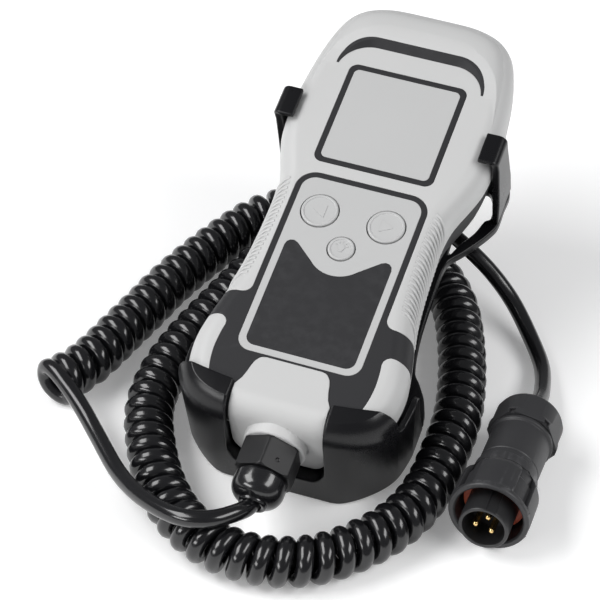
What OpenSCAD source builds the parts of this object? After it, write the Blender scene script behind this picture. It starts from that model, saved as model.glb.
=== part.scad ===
// Wired hand-held remote in its wall cradle, with a curly cord and a three-pin inline plug.
// The cradle lies on its back with its head end propped up on the cord that crosses under it.

/* [Handset] */
// Length of the handset from the cable end to the hood
handset_l = 190; // [180:1:205]
// Width across the head
head_w = 82.4; // [81.4:0.2:83.4]
// Width across the waist
waist_w = 66; // [64:0.5:70]
// Width across the lower end
grip_w = 80.5; // [79.5:0.5:81.5]
// Depth from the flat back to the face
handset_t = 39; // [37:0.5:42]
// Height of the hood above the face
hood_rise = 3.2; // [2.4:0.2:4]
// Wall of both covers
shell_wall = 2.4; // [2:0.1:3]

/* [Face] */
// Size of the square display cover
display_w = 42.6; // [38:0.2:44]
// Width of the dark line round the display
display_line = 2.2; // [1.6:0.2:3]
// Width of the keypad overlay
keypad_w = 47; // [44:0.5:48]
// Length of the keypad overlay
keypad_l = 78.6; // [74:0.2:82]
// Diameter of the two large keys
key_d = 14; // [12:0.5:15]
// Distance between the two large keys
key_pitch = 26; // [24:0.5:27]
// Diameter of the small key
light_key_d = 10; // [8:0.5:11]
// Travel of a key
key_travel = 0.6; // [0.4:0.1:0.8]

/* [Cord] */
// Diameter of the plain cord
cord_d = 6.4; // [6:0.1:6.6]
// Outer diameter of the curly stretch
coil_d = 19.6; // [18:0.2:20]

/* [Gland] */
// Thread diameter of the gland
gland_thread_d = 16; // [14:0.5:17]
// Hexagon size of the gland, across flats
gland_af = 20; // [19:0.5:22]

/* [Cradle] */
// Tilt of the cradle, head end up
tilt = 17; // [16.5:0.5:18]
// Wall of the cup
cradle_wall = 3; // [2.4:0.2:3.4]
// Thickness of the back plate
plate_t = 4; // [3:0.5:4]
// Distance between the two wall screws
screw_pitch = 65; // [55:1:75]
// Diameter of the wall screw holes
screw_hole_d = 4.5; // [4:0.5:5]

/* [Plug] */
// Outer diameter of the plug body
plug_body_d = 22.6; // [21:0.2:24]
// Outer diameter of the locking sleeve
plug_sleeve_d = 29; // [28:0.5:30]
// Diameter of a contact pin
pin_d = 2; // [1.6:0.1:2.4]

/* [Hidden] */

$fn = 48;
eps = 0.01;
// Running clearance of the handset in the cradle
slack = 0.5;
// Height of the handset's back and face over the cradle's back
back_z = plate_t + slack;
face_z = back_z + handset_t;
// Parting line of the covers
part_z = back_z + 25.5;
// Start of the handset in the cradle, from the cradle's heel
handset_y = 6;
// Distance from the heel to the middle of the base
stand_y = -75.7;
edge_rx = 7.5;
edge_ry = 9;
hood_z = face_z + hood_rise;
key_row_y = 88;
light_key_y = 74.2;
display_y = 133;
// End of the straight sides of the head, where the recess of the hood begins
head_y = handset_l - 50;
keypad_y = 23.5;
board_z = face_z - 12;
board_t = 1.6;
gland_z = face_z - 17;
gland_face_y = -4;
hex_l = 12;
dome_l = 9.5;
collar_d = 23.6;
plug_r = 15.4;

// ---------- shape helpers ----------

function spline(p, n) = [for (i = [0:len(p) - 2], k = [0:n - 1])
    let (t = k / n, a = p[max(i - 1, 0)], b = p[i], c = p[i + 1], d = p[min(i + 2, len(p) - 1)])
    0.5 * (2 * b + (c - a) * t + (2 * a - 5 * b + 4 * c - d) * t * t + (3 * b - a - 3 * c + d) * t * t * t)];

// A closed outline from its right half, bottom centre to top centre
function mirrored(p) = concat(p, [for (i = [len(p) - 1:-1:1]) if (p[i][0] > eps) [-p[i][0], p[i][1]]]);

function inset(p, d) = [for (i = [0:len(p) - 1])
    let (t = p[(i + 1) % len(p)] - p[(i + len(p) - 1) % len(p)])
    p[i] + d * [-t[1], t[0]] / norm(t)];

// An end face as strips across a mirrored outline, which starts on its middle line or beside it
function cap(p) = let (n = len(p), c = p[0][0] < eps ? 1 : 0, m = n - 1 + c)
    concat(c == 1 ? [[0, 1, n - 1]] : [], [for (i = [c:floor((m - 3) / 2)]) [i, i + 1, m - i - 1, m - i]],
        m % 2 == 0 ? [[m / 2 - 1, m / 2, m / 2 + 1]] : []);

// A solid through rings of equal length: each ring is [z, mirrored outline]
module loft_rings(rings) {
    n = len(rings[0][1]);
    m = len(rings);
    points = [for (s = rings, p = s[1]) [p[0], p[1], s[0]]];
    walls = [for (j = [0:m - 2], i = [0:n - 1]) let (k = (i + 1) % n)
        each [[j * n + i, (j + 1) * n + i, (j + 1) * n + k], [j * n + i, (j + 1) * n + k, j * n + k]]];
    bottom = cap(rings[0][1]);
    top = [for (c = bottom) [for (i = [len(c) - 1:-1:0]) (m - 1) * n + c[i]]];
    polyhedron(points, concat(bottom, top, walls), convexity = 6);
}

// A solid through insets of one outline: steps are [z, inset]
module loft(outline, steps) { loft_rings([for (s = steps) [s[0], inset(outline, s[1])]]); }

module round_rect(w, y0, y1, r) {
    union() {
        translate([-w / 2 + r, y0]) square([w - 2 * r, y1 - y0]);
        translate([-w / 2, y0 + r]) square([w, y1 - y0 - 2 * r]);
        for (x = [-w / 2 + r, w / 2 - r], y = [y0 + r, y1 - r]) translate([x, y]) circle(r);
    }
}

module both_sides() {
    children();
    mirror([1, 0, 0]) children();
}

// Cradle frame to row frame: the heel line rests on the surface
module stand() { translate([0, stand_y, 0]) rotate([tilt, 0, 0]) children(); }

// Handset frame, from the middle of its cable end
module seated() { stand() translate([0, handset_y, 0]) children(); }

// A round bar along the handset, from y0 to y1 at height z
module bar_y(d, y0, y1, z, x = 0) {
    translate([x, y1, z]) rotate([90, 0, 0]) cylinder(d = d, h = y1 - y0);
}

module hex_y(af, y0, y1, z) {
    translate([0, y1, z]) rotate([90, 0, 0]) rotate(30) cylinder(d = af / cos(30), h = y1 - y0, $fn = 6);
}

// ---------- outlines ----------

ww = waist_w / 2;
gw = grip_w / 2;
hw = head_w / 2;
body_half = [[0, 0], [14, 0.2], [25, 1.6], [gw - 6.4, 6.2], [gw - 1.5, 14.4], [gw, 27], [gw - 2.4, 42],
    [ww + 1.8, 56], [ww + 0.3, 72], [ww, 90], [ww + 1.2, 101], [hw - 4, 110], [hw - 1.2, 119], [hw, 59 + head_y / 2],
    [hw, head_y], [hw - 1.2, head_y + 14], [hw - 3.2, head_y + 27], [hw - 7, handset_l - 11],
    [hw - 13.4, handset_l - 4], [hw - 22, handset_l - 0.8], [11, handset_l], [0, handset_l]];
body_outline = mirrored(spline(body_half, 2));

// Inside of the cup and its foot, from the cable end of the handset
cup_half = [[0, 0], [14, 0.2], [25, 1.6], [gw - 6.4, 6.2], [gw - 1.5, 14.4], [gw, 27]];
foot_half = [[0, -handset_y], [16, 0.1 - handset_y], [25, 1.2 - handset_y], [35, 2.6], [41, 11], [gw + 3, 22]];

function open_cup(half) = mirrored(concat(spline(half, 2), [half[5], [half[5][0], 62]]));

cup_outline = open_cup(cup_half);
foot_outline = open_cup(foot_half);

// How far the plate reaches past the head under the arms
foot_out = 3;
plate_half = [[0, 40], [gw + 3, 40], [gw + 2.4, 44], [40.4, 50], [37, 55.5], [33.5, 61], [31, 76], [30.2, 95],
    [30.1, 105], [31.2, 110.8], [35, 115.7], [39.1, 121.6], [42.3, 127], [hw + foot_out, 132], [hw + foot_out, 140],
    [hw + foot_out, 148], [40, 157], [30, 160], [0, 160]];

// Openings of the plate beside the feet of the arms
window_area = [[29.8, 113.5], [32.8, 119.4], [hw - 4.6, 126], [hw - 2.6, 132.2], [hw - 0.6, 134.2],
    [hw - 1.8, 141], [hw - 5.2, 146], [31, 142], [29, 128]];

// Rounded edge of the handset as loft steps, grown outwards by gap
function edge_steps(gap, top_gap, z0) = concat([[z0, -gap]],
    [for (a = [0:15:90]) [face_z - edge_ry + (edge_ry + top_gap) * sin(a), -gap + (edge_rx + gap) * (1 - cos(a))]]);

// Tapered and rounded back of the handset as loft steps, deeper by depth
function back_steps(depth, z1) = [[back_z + depth, 11], [back_z + depth + 0.9, 8.6 + depth / 2],
    [back_z + 3.6 + depth / 2, 6.2 + depth], [part_z - 16, 3.6 + depth], [part_z - 8, 1.5 + depth], [z1, depth]];

// The outline of the handset, d inside its edge, as a flat area
module body_area(d) { polygon(inset(body_outline, d)); }

module body_shell_top(gap = 0) { loft(body_outline, edge_steps(gap, gap, part_z)); }

module side_cut(points, w = 120) {
    translate([w / 2, 0, 0]) rotate([90, 0, -90]) mirror([1, 0, 0]) linear_extrude(w) polygon(points);
}

module keypad_area(grow, r) {
    round_rect(keypad_w + 2 * grow, keypad_y - grow, keypad_y + keypad_l + grow, r);
}

module saddle_area() {
    polygon([[-18, -4], [-18, 9], [-16.3, 12], [-14.8, 18], [-13, 21.4], [-10.5, 22.4],
        [10.5, 22.4], [13, 21.4], [14.8, 18], [16.3, 12], [18, 9], [18, -4]]);
}

module corner_patch_area() {
    both_sides() polygon([[27, 6], [29.4, 14], [30.4, 21], [30.2, 29], [29, 35.5], [60, 34.5], [60, 6]]);
}

module overmould_area() {
    difference() {
        union() {
            translate([-60, -1]) square([120, 47.5]);
            keypad_area(display_line, 7.7);
        }
        keypad_area(0, 5.5);
        saddle_area();
        corner_patch_area();
    }
}

// The way for the cable block through the end: half width w, from z0 up
module slot_form(w, z0) {
    translate([0, 14, z0]) rotate([90, 0, 0]) linear_extrude(40) {
        translate([-w, 8]) square([2 * w, 60]);
        translate([6 - w, 0]) square([2 * w - 12, 20]);
        for (s = [-1, 1]) translate([s * (w - 6), 8]) scale([6 / 8, 1]) circle(8);
    }
}

module display_area(grow, r) {
    w = display_w + 2 * grow;
    round_rect(w, display_y - w / 2, display_y + w / 2, r);
}

module recess(grow) {
    w = 57.4 + 2 * grow;
    points = mirrored(concat([[w / 2, head_y - grow]],
        [for (a = [0:10:90]) [w / 2 - 13 + 13 * cos(a), head_y + 13 + grow + 13 * sin(a)]]));
    loft(points, [[face_z, 0], [face_z + 5, -5]]);
}

module hood_form() {
    intersection() {
        loft(body_outline, [[face_z - 5, 1.8], [face_z - 1.6, 3.6], [face_z + 1, 6.2],
            [hood_z - 0.8, 9.6], [hood_z, 14]]);
        side_cut([[head_y + 16, face_z - 6], [head_y + 16, face_z - 0.2], [head_y + 32, hood_z + 0.1],
            [handset_l + 10, hood_z + 0.1], [handset_l + 10, face_z - 6]]);
    }
}

// ---------- handset ----------

module front_cover() color([0.8, 0.81, 0.8]) seated() {
    difference() {
        union() {
            difference() {
                union() {
                    body_shell_top();
                    difference() {
                        hood_form();
                        recess(0.8);
                    }
                }
                loft(body_outline, [[part_z - 1, shell_wall], [face_z - edge_ry, shell_wall],
                    [face_z - 5.4, 4.6], [face_z - 3.6, 7.4], [face_z - shell_wall - 0.6, 9.6]]);
            }
            for (p = boss_places) translate([p[0], p[1], part_z]) cylinder(d = 8, h = face_z - part_z - 2.6);
            for (p = board_screw_places) translate([p[0], p[1], board_z + board_t])
                cylinder(d = 5, h = face_z - board_z - board_t - 2.6);
        }
        difference() {
            translate([0, 0, part_z + 1]) linear_extrude(30) overmould_area();
            under_overmould();
        }
        translate([0, 0, part_z - 5]) linear_extrude(40) saddle_area();
        translate([0, 0, face_z - 2]) linear_extrude(10) display_area(display_line, 3.4);
        translate([0, 0, face_z - 8]) linear_extrude(16) display_area(-1.5, 2);
        translate([0, 0, face_z - 0.9]) linear_extrude(10) keypad_area(0, 5.5);
        for (x = [-1, 1]) translate([x * key_pitch / 2, key_row_y, face_z - 8]) cylinder(d = key_d + 0.6, h = 20);
        translate([0, light_key_y, face_z - 8]) cylinder(d = light_key_d + 0.6, h = 20);
        for (p = boss_places) translate([p[0], p[1], part_z - 1]) cylinder(d = 2.6, h = 9);
        for (p = board_screw_places) translate([p[0], p[1], board_z]) cylinder(d = 2.2, h = 6.9);
    }
}

// The form left under the overmould, 1 mm inside the outer one
module under_overmould() {
    loft(body_outline, [[part_z, 1], [face_z - edge_ry, 1], [face_z - 4, 2.6], [face_z - 2, 5], [face_z - 1, 9]]);
}

boss_places = [for (x = [-1, 1]) each [[x * 23, 24], [x * 20.5, 105], [x * 24, head_y + 23]]];

// The light block at the cable end: it drapes over the edge and carries the gland
module end_block() color([0.8, 0.81, 0.8]) seated() {
    difference() {
        union() {
            intersection() {
                difference() {
                    loft(body_outline, concat([[12.5, -0.6]], edge_steps(0.6, 0.5, part_z)));
                    loft(body_outline, concat([[12, shell_wall]], [[face_z - edge_ry, shell_wall], [face_z - 4, 4.6],
                        [face_z - 2, 8]]));
                }
                linear_extrude(60) saddle_area();
                union() {
                    slot_form(18, 12.5);
                    translate([-30, 10, 40]) cube([60, 20, 20]);
                }
            }
            bar_y(collar_d, gland_face_y, 2.4, gland_z);
        }
        bar_y(gland_thread_d + 0.1, -10, 14, gland_z);
    }
}

module rear_cover() color([0.23, 0.23, 0.24]) seated() {
    difference() {
        union() {
            difference() {
                loft(body_outline, back_steps(0, part_z - 0.3));
                loft(body_outline, back_steps(shell_wall, part_z + 1));
            }
            for (p = boss_places) translate([p[0], p[1], back_z + 1]) cylinder(d = 8, h = part_z - back_z - 1.3);
        }
        intersection() {
            slot_form(18.05, 12.4);
            translate([-30, -4, 0]) cube([60, 12, 60]);
        }
        translate([0, 0, part_z - 1.4]) linear_extrude(3) difference() {
            body_area(0.7);
            body_area(1.9);
        }
        for (p = boss_places) translate([p[0], p[1], 0]) {
            cylinder(d = 3.2, h = part_z + 1);
            cylinder(d = 6.4, h = back_z + 4);
        }
    }
}

module cover_gasket() color([0.2, 0.2, 0.2]) seated() {
    translate([0, 0, part_z - 1.4]) linear_extrude(1.4) difference() {
        body_area(0.8);
        body_area(1.8);
        translate([-18, -4]) square([36, 12]);
    }
}

module cover_screws() color([0.7, 0.7, 0.72]) seated() {
    for (p = boss_places) translate([p[0], p[1], back_z]) {
        difference() {
            translate([0, 0, 1.6]) cylinder(d = 5.8, h = 2.4);
            cylinder(d = 2.6, h = 3, $fn = 6);
        }
        translate([0, 0, 4]) cylinder(d = 2.6, h = part_z - back_z + 3);
    }
}

module grip_overmould() color([0.23, 0.23, 0.24]) seated() {
    difference() {
        intersection() {
            body_shell_top();
            translate([0, 0, part_z + 1]) linear_extrude(30) overmould_area();
        }
        under_overmould();
    }
}

module hood_inlay() color([0.23, 0.23, 0.24]) seated() {
    difference() {
        intersection() {
            hood_form();
            recess(0.8);
        }
        recess(0);
        translate([0, 0, face_z - 10]) linear_extrude(10.05) square(400, center = true);
    }
}

module display_frame() color([0.23, 0.23, 0.24]) seated() {
    translate([0, 0, face_z - 2]) linear_extrude(2.1) difference() {
        display_area(display_line, 3.4);
        display_area(0, 2.2);
    }
}

module display_cover() color([0.77, 0.78, 0.77]) seated() {
    translate([0, 0, face_z - 2]) linear_extrude(2) display_area(0, 2.2);
}

module display_module() color([0.3, 0.35, 0.3]) seated() {
    w = display_w - 2;
    translate([-w / 2, display_y - w / 2, board_z + board_t]) cube([w, w, 5.6]);
}

module keypad_overlay() color([0.77, 0.78, 0.77]) seated() {
    difference() {
        translate([0, 0, face_z - 0.9]) linear_extrude(0.9) keypad_area(0, 5.5);
        for (x = [-1, 1]) translate([x * key_pitch / 2, key_row_y, 0]) cylinder(d = key_d + 0.4, h = 90);
        translate([0, light_key_y, 0]) cylinder(d = light_key_d + 0.4, h = 90);
        translate([0, 0, face_z - 0.3]) linear_extrude(1) field_area();
    }
}

module field_area() {
    difference() {
        union() {
            round_rect(keypad_w - 5.4, keypad_y + 2.6, 66, 3.6);
            polygon([[-20.8, 40], [-20.8, 71], [-18.6, 73], [-16.2, 72.4], [-8.8, 66], [0, 60],
                [8.8, 66], [16.2, 72.4], [18.6, 73], [20.8, 71], [20.8, 40]]);
        }
        translate([0, light_key_y]) circle(12);
    }
}

module keypad_field() color([0.22, 0.22, 0.23]) seated() {
    translate([0, 0, face_z - 0.3]) linear_extrude(0.3) field_area();
}

module key_cap(d, x, y) {
    top_z = face_z + 0.3;
    translate([x, y, face_z - 2.6]) cylinder(d = d, h = top_z - face_z + 2.6);
    translate([x, y, top_z]) rotate_extrude() polygon([[d / 2 - 1.2, 0], [d / 2 - 0.9, 0.3], [d / 2 - 0.4, 0.3],
        [d / 2 - 0.1, 0]]);
    translate([x, y, face_z - 5.2]) cylinder(d = 4, h = 2.7);
}

module key_up() color([0.76, 0.77, 0.76]) seated() { key_cap(key_d, -key_pitch / 2, key_row_y); }

module key_down() color([0.76, 0.77, 0.76]) seated() { key_cap(key_d, key_pitch / 2, key_row_y); }

module key_light() color([0.76, 0.77, 0.76]) seated() { key_cap(light_key_d, 0, light_key_y); }

module key_switches() color([0.15, 0.15, 0.15]) seated() {
    for (p = [[-key_pitch / 2, key_row_y], [key_pitch / 2, key_row_y], [0, light_key_y]])
        translate([p[0], p[1], board_z + board_t]) {
            translate([-3, -3, 0]) cube([6, 6, 3.2]);
            cylinder(d = 3.2, h = face_z - 5.2 - key_travel - 0.1 - board_z - board_t);
        }
}

board_screw_places = [[-20, 36], [20, 36], [-26, 135], [26, 135]];

module circuit_board() color([0.1, 0.4, 0.25]) seated() {
    difference() {
        translate([0, 0, board_z]) linear_extrude(board_t) intersection() {
            body_area(7);
            translate([-60, 26]) square([120, head_y + 6]);
        }
        for (p = boss_places) translate([p[0], p[1], 0]) cylinder(d = 9, h = 60);
        for (p = board_screw_places) translate([p[0], p[1], 0]) cylinder(d = 2.4, h = 60);
    }
}

module board_screws() color([0.7, 0.7, 0.72]) seated() {
    for (p = board_screw_places) translate([p[0], p[1], 0]) {
        translate([0, 0, board_z - 1.6]) cylinder(d = 4.6, h = 1.6);
        translate([0, 0, board_z]) cylinder(d = 2.2, h = 5);
    }
}

module terminal_block() color([0.15, 0.35, 0.2]) seated() {
    difference() {
        translate([-9, 34, board_z - 10]) cube([18, 9, 10]);
        for (x = [-5.5, 0, 5.5]) bar_y(2.2, 30, 40, board_z - 5, x);
    }
}

module cable_cores() color([0.5, 0.25, 0.1]) seated() {
    for (x = [-1, 0, 1]) {
        hull() {
            bar_y(1.7, 12, 12.5, gland_z - 0.6, x * 1.9);
            bar_y(1.7, 32, 32.5, board_z - 5, x * 5.5);
        }
        bar_y(1.7, 32, 38, board_z - 5, x * 5.5);
    }
}

module cable_jacket() color([0.06, 0.06, 0.06]) seated() {
    bar_y(cord_d, gland_face_y - hex_l - dome_l, 12, gland_z);
}

// ---------- gland ----------

module gland_body() color([0.25, 0.25, 0.26]) seated() {
    difference() {
        union() {
            hex_y(gland_af, gland_face_y - hex_l, gland_face_y, gland_z);
            bar_y(gland_thread_d, gland_face_y - 1, 10, gland_z);
        }
        bar_y(cord_d + 0.4, -40, 40, gland_z);
        bar_y(11, -40, gland_face_y - hex_l + 6, gland_z);
    }
}

module gland_locknut() color([0.2, 0.2, 0.2]) seated() {
    difference() {
        hex_y(gland_af, 4.6, 8.6, gland_z);
        bar_y(gland_thread_d + 0.04, 0, 20, gland_z);
    }
}

module gland_seal() color([0.12, 0.12, 0.12]) seated() {
    difference() {
        bar_y(10.8, gland_face_y - hex_l - 1, gland_face_y - hex_l + 5.8, gland_z);
        bar_y(cord_d + 0.04, -60, 40, gland_z);
    }
}

module gland_dome_nut() color([0.05, 0.05, 0.05]) seated() {
    translate([0, gland_face_y - hex_l, gland_z]) rotate([90, 0, 0]) difference() {
        rotate_extrude() polygon(concat([[0, 0], [8.8, 0], [9.8, 1.6]],
            [for (a = [0:15:75]) [4.4 + 5.4 * cos(a), 4.4 + 6 * sin(a)]], [[4.4, dome_l], [0, dome_l]]));
        translate([0, 0, -1]) cylinder(d = 11, h = 4.2);
        translate([0, 0, -1]) cylinder(d = cord_d + 0.1, h = 30);
    }
}

// ---------- cradle ----------

module cradle_plate() color([0.09, 0.09, 0.1]) stand() {
    difference() {
        linear_extrude(plate_t) polygon(mirrored(concat([plate_half[0], plate_half[1]],
            spline([for (i = [2:len(plate_half) - 1]) plate_half[i]], 3), [[0, 160]])));
        both_sides() translate([0, 0, -1]) linear_extrude(plate_t + 2) polygon(window_area);
        for (s = [-1, 1]) translate([0, 102.5 + s * screw_pitch / 2, 0]) {
            translate([0, 0, -1]) cylinder(d = screw_hole_d, h = plate_t + 2);
            translate([0, 0, plate_t - 1.8]) cylinder(d = screw_hole_d * 2, h = 3);
        }
    }
}

module cradle_cup() color([0.09, 0.09, 0.1]) stand() {
    out = cradle_wall + slack;
    translate([0, handset_y, 0]) difference() {
        intersection() {
            loft_rings(concat([[0, foot_outline]], [for (a = [0:15:90]) [face_z - edge_ry + (edge_ry + 3.2) * sin(a),
                inset(cup_outline, -out + (edge_rx + out) * (1 - cos(a)))]]));
            side_cut([[-10, -1], [-10, 60], [13.5, 60], [13.5, part_z + 2], [15, part_z], [18, part_z - 1.4],
                [28, part_z - 2], [33, part_z - 6], [34, plate_t], [34, -1]]);
        }
        loft(cup_outline, concat([[plate_t, 9], [plate_t + 1.4, 5], [plate_t + 5, 1.4], [plate_t + 11, -slack]],
            [for (a = [0:15:90]) [face_z - edge_ry + (edge_ry + 0.4) * sin(a), -slack + (edge_rx + slack) * (1 - cos(a))]]));
        slot_form(18.6, 11.5);
    }
}

module cradle_arm() {
    inner = hw + 0.5;
    difference() {
        union() {
            intersection() {
                side_cut([[132, plate_t], [133, face_z - 5], [131, face_z + 3],
                    [144, face_z + 3], [144.5, face_z - 5], [149, plate_t + 6], [150, plate_t]]);
                union() {
                    translate([0, 180, 0]) rotate([90, 0, 0]) linear_extrude(80) polygon([[inner, plate_t],
                        [hw + foot_out, plate_t], [inner + cradle_wall, plate_t + 12],
                        [inner + cradle_wall, face_z - 0.4], [inner, face_z - 0.4]]);
                    translate([inner, 100, face_z - 0.4]) rotate([-90, 0, 0]) cylinder(r = cradle_wall, h = 80);
                }
            }
            translate([hw - 4.6, 131, face_z + 0.4]) cube([4.6 + 0.8, 13, cradle_wall - 0.8]);
        }
        translate([inner - 10, 100, face_z - 10]) cube([10, 80, 10.4]);
    }
}

module cradle_arm_right() color([0.09, 0.09, 0.1]) stand() { cradle_arm(); }

module cradle_arm_left() color([0.09, 0.09, 0.1]) stand() { mirror([1, 0, 0]) cradle_arm(); }

// ---------- cord ----------

exit_y = handset_y + gland_face_y - hex_l - dome_l;
cord_exit = [0, stand_y + exit_y * cos(tilt) - gland_z * sin(tilt), exit_y * sin(tilt) + gland_z * cos(tilt)];
exit_way = [0, -cos(tilt), -sin(tilt)];

// Tail from the gland: out of the slot, over the curly stretch to the left, and a last ring beside its end
tail_route = [[-1.1, -110.2, 22.3], [-4.8, -115.4, 23.2], [-11, -120.2, 23.8], [-20.3, -121.4, 22.6],
    [-31.7, -116.5, 19.2], [-43.4, -108.6, 15.4], [-54.2, -98.7, 12.4], [-68.6, -83.4, 11.6], [-77.2, -74.9, 12.4],
    [-84.4, -69, 14], [-90.9, -64.7, 15.8], [-96.6, -61, 15.6], [-99.4, -59.6, 13], [-99.4, -59.9, 9.8],
    [-97.2, -61.2, 6.4], [-93.8, -62, 4.2], [-89.6, -62.2, 3.5]];

// Middle line of the curly stretch: up the left, under the plate, down the right, round the
// foot of the cradle, up the left again and over itself under the plate
coil_route = [[-91, -57.6, 9.8], [-87, -48.8, 9.8], [-84.2, -38.5, 9.8], [-82.2, -29, 9.8], [-79.8, -18.5, 9.8],
    [-77.5, -8, 9.8], [-75.3, 3, 9.8], [-69.7, 22.5, 9.8], [-62.5, 42, 9.8], [-54, 58.5, 9.8], [-41, 68.5, 9.8], [-23, 71.5, 9.8], [-4, 67.5, 9.8], [12, 58.5, 9.8], [25, 45.5, 9.8],
    [35, 31.5, 9.8], [43, 12.5, 9.8], [49, -6.5, 9.8], [53, -25.5, 9.8], [54.1, -45.5, 9.8], [54, -63.5, 9.8],
    [50.5, -80.5, 9.8], [42, -96.5, 9.8], [28, -111.5, 9.8], [11, -119, 9.8], [-7, -119, 9.8], [-24, -111, 9.8],
    [-38, -96.5, 9.8], [-49, -78.5, 9.8], [-56, -61.5, 9.8], [-58, -42.5, 9.8], [-56, -22.5, 9.8], [-52, -2.5, 9.8],
    [-48, 15.5, 10], [-43, 32.5, 12.5], [-34, 44.5, 18.4], [-23, 52.5, 25], [-11, 57.5, 29.6], [2, 58.5, 30.6]];

// Lead from the end of the curly stretch to the plug
lead_route = [[13, 57.5, 30.4], [25, 53.5, 28.6], [35, 50.5, 24.5], [45, 47.5, 18.5], [55, 42.5, 11.5], [65, 32.5, 6],
    [74, 18.5, 4.4], [78.5, 1.5, 7.6], [79.4, -10.5, 11.8]];

plug_tilt = 3.2;
plug_rear = [79.5, -18.5, 13.3];
plug_way = [0, -cos(plug_tilt), sin(plug_tilt)];

function course(p, i) = let (t = p[min(i + 1, len(p) - 1)] - p[max(i - 1, 0)]) t / norm(t);

// Directions across a route, each carried on from the one before it
function across(p, s, i = 0) = i == len(p) ? [] :
    let (t = course(p, i), r = s - (s * t) * t) concat([r / norm(r)], across(p, r / norm(r), i + 1));

function sweep(p, d, sides) = let (a = across(p, cross(course(p, 0), [0, 0, 1]))) [for (i = [0:len(p) - 1])
    let (s = a[i], u = cross(s, course(p, i)))
    for (k = [0:sides - 1]) p[i] + d / 2 * (cos(360 * k / sides) * s + sin(360 * k / sides) * u)];

module tube(p, d, sides) {
    m = len(p);
    caps = [[for (k = [0:sides - 1]) k], [for (k = [sides - 1:-1:0]) (m - 1) * sides + k]];
    walls = [for (j = [0:m - 2], k = [0:sides - 1]) let (q = (k + 1) % sides)
        each [[j * sides + k, (j + 1) * sides + k, (j + 1) * sides + q], [j * sides + k, (j + 1) * sides + q, j * sides + q]]];
    polyhedron(sweep(p, d, sides), concat(caps, walls), convexity = 10);
}

module cord_tail() color([0.05, 0.05, 0.05]) {
    first = cord_exit + 0.05 * exit_way;
    last = tail_route[len(tail_route) - 1];
    route = concat([first + 0.6 * exit_way, first + 3 * exit_way], tail_route);
    tube(concat([first], spline(route, 2), [last]), cord_d, 8);
}

module cord_coil() color([0.05, 0.05, 0.05]) tube(coil_route, coil_d, 12);

module cord_lead() color([0.05, 0.05, 0.05]) {
    n = len(coil_route);
    first = coil_route[n - 1];
    way = (first - coil_route[n - 2]) / norm(first - coil_route[n - 2]);
    last = plug_rear - 0.05 * plug_way;
    route = concat([first + 4 * way], lead_route, [last - 4 * plug_way]);
    tube(concat([first], spline(route, 2), [route[len(route) - 1], last]), cord_d, 8);
}

// ---------- plug ----------

// Plug frame: from the middle of its rear face, forwards along its axis
module plug_place() { translate(plug_rear) rotate([90 - plug_tilt, 0, 0]) children(); }

module plug_back_nut() color([0.22, 0.22, 0.23]) plug_place() {
    difference() {
        intersection() {
            rotate(30) cylinder(d = 28.4, h = 14, $fn = 6);
            rotate_extrude() polygon([[0, 0], [10.4, 0], [12.9, 3], [12.9, 11], [13.4, 12], [13.4, 14], [0, 14]]);
        }
        translate([0, 0, -1]) cylinder(d = cord_d + 0.3, h = 30);
        translate([0, 0, 2.4]) cylinder(d = 18, h = 30);
    }
}

module plug_grommet() color([0.1, 0.1, 0.1]) plug_place() {
    translate([0, 0, 2.5]) difference() {
        cylinder(d = 17.2, h = 4.4);
        translate([0, 0, -1]) cylinder(d = cord_d + 0.04, h = 30);
    }
}

module plug_body() color([0.22, 0.22, 0.23]) plug_place() {
    difference() {
        union() {
            translate([0, 0, 7]) cylinder(d = 17.9, h = 8);
            translate([0, 0, 14.2]) cylinder(d = plug_body_d, h = 29.8);
            translate([0, 0, 14.2]) cylinder(d = plug_body_d + 1.6, h = 1.6);
        }
        translate([0, 0, -1]) cylinder(d = 15, h = 32);
        translate([0, 0, 30]) cylinder(d = 18.5, h = 32);
    }
}

module plug_sleeve() color([0.22, 0.22, 0.23]) plug_place() {
    difference() {
        union() {
            translate([0, 0, 35]) rotate_extrude() polygon([[0, 0], [plug_sleeve_d / 2 - 1.6, 0], [plug_sleeve_d / 2, 2.6],
                [plug_sleeve_d / 2, 23], [0, 23]]);
            for (a = [20:90:290]) rotate(a) intersection() {
                translate([0, -4.2, 37.6]) cube([20, 8.4, 17.4]);
                cylinder(r = plug_r, h = 80);
            }
        }
        translate([0, 0, 30]) cylinder(d = plug_body_d + 0.16, h = 20);
        translate([0, 0, 44.6]) cylinder(d = plug_sleeve_d - 4, h = 20);
        for (a = [65:90:335]) rotate(a) translate([9, -2, 55.4]) cube([20, 4, 5]);
    }
}

module plug_insert() color([0.07, 0.07, 0.07]) plug_place() {
    difference() {
        union() {
            translate([0, 0, 31]) cylinder(d = 18.4, h = 33.6);
            translate([0, 0, 44.2]) cylinder(d = 22, h = 3);
        }
        translate([0, 0, 54]) cylinder(d = 15.6, h = 20);
        for (p = pin_places) translate([p[0], p[1], 30]) cylinder(d = pin_d, h = 40);
    }
}

pin_places = [for (a = [30, 150, 270]) 3.6 * [cos(a), sin(a)]];

module plug_pins() color([0.8, 0.6, 0.25]) plug_place() {
    for (p = pin_places) translate([p[0], p[1], 30.5]) {
        cylinder(d = pin_d - 0.02, h = 30);
        translate([0, 0, 30]) sphere(d = pin_d - 0.02);
    }
}

module plug_seal() color([0.75, 0.2, 0.1]) plug_place() {
    translate([0, 0, 47.3]) difference() {
        cylinder(d = 22.6, h = 3);
        translate([0, 0, -1]) cylinder(d = 18.5, h = 30);
    }
}

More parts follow.
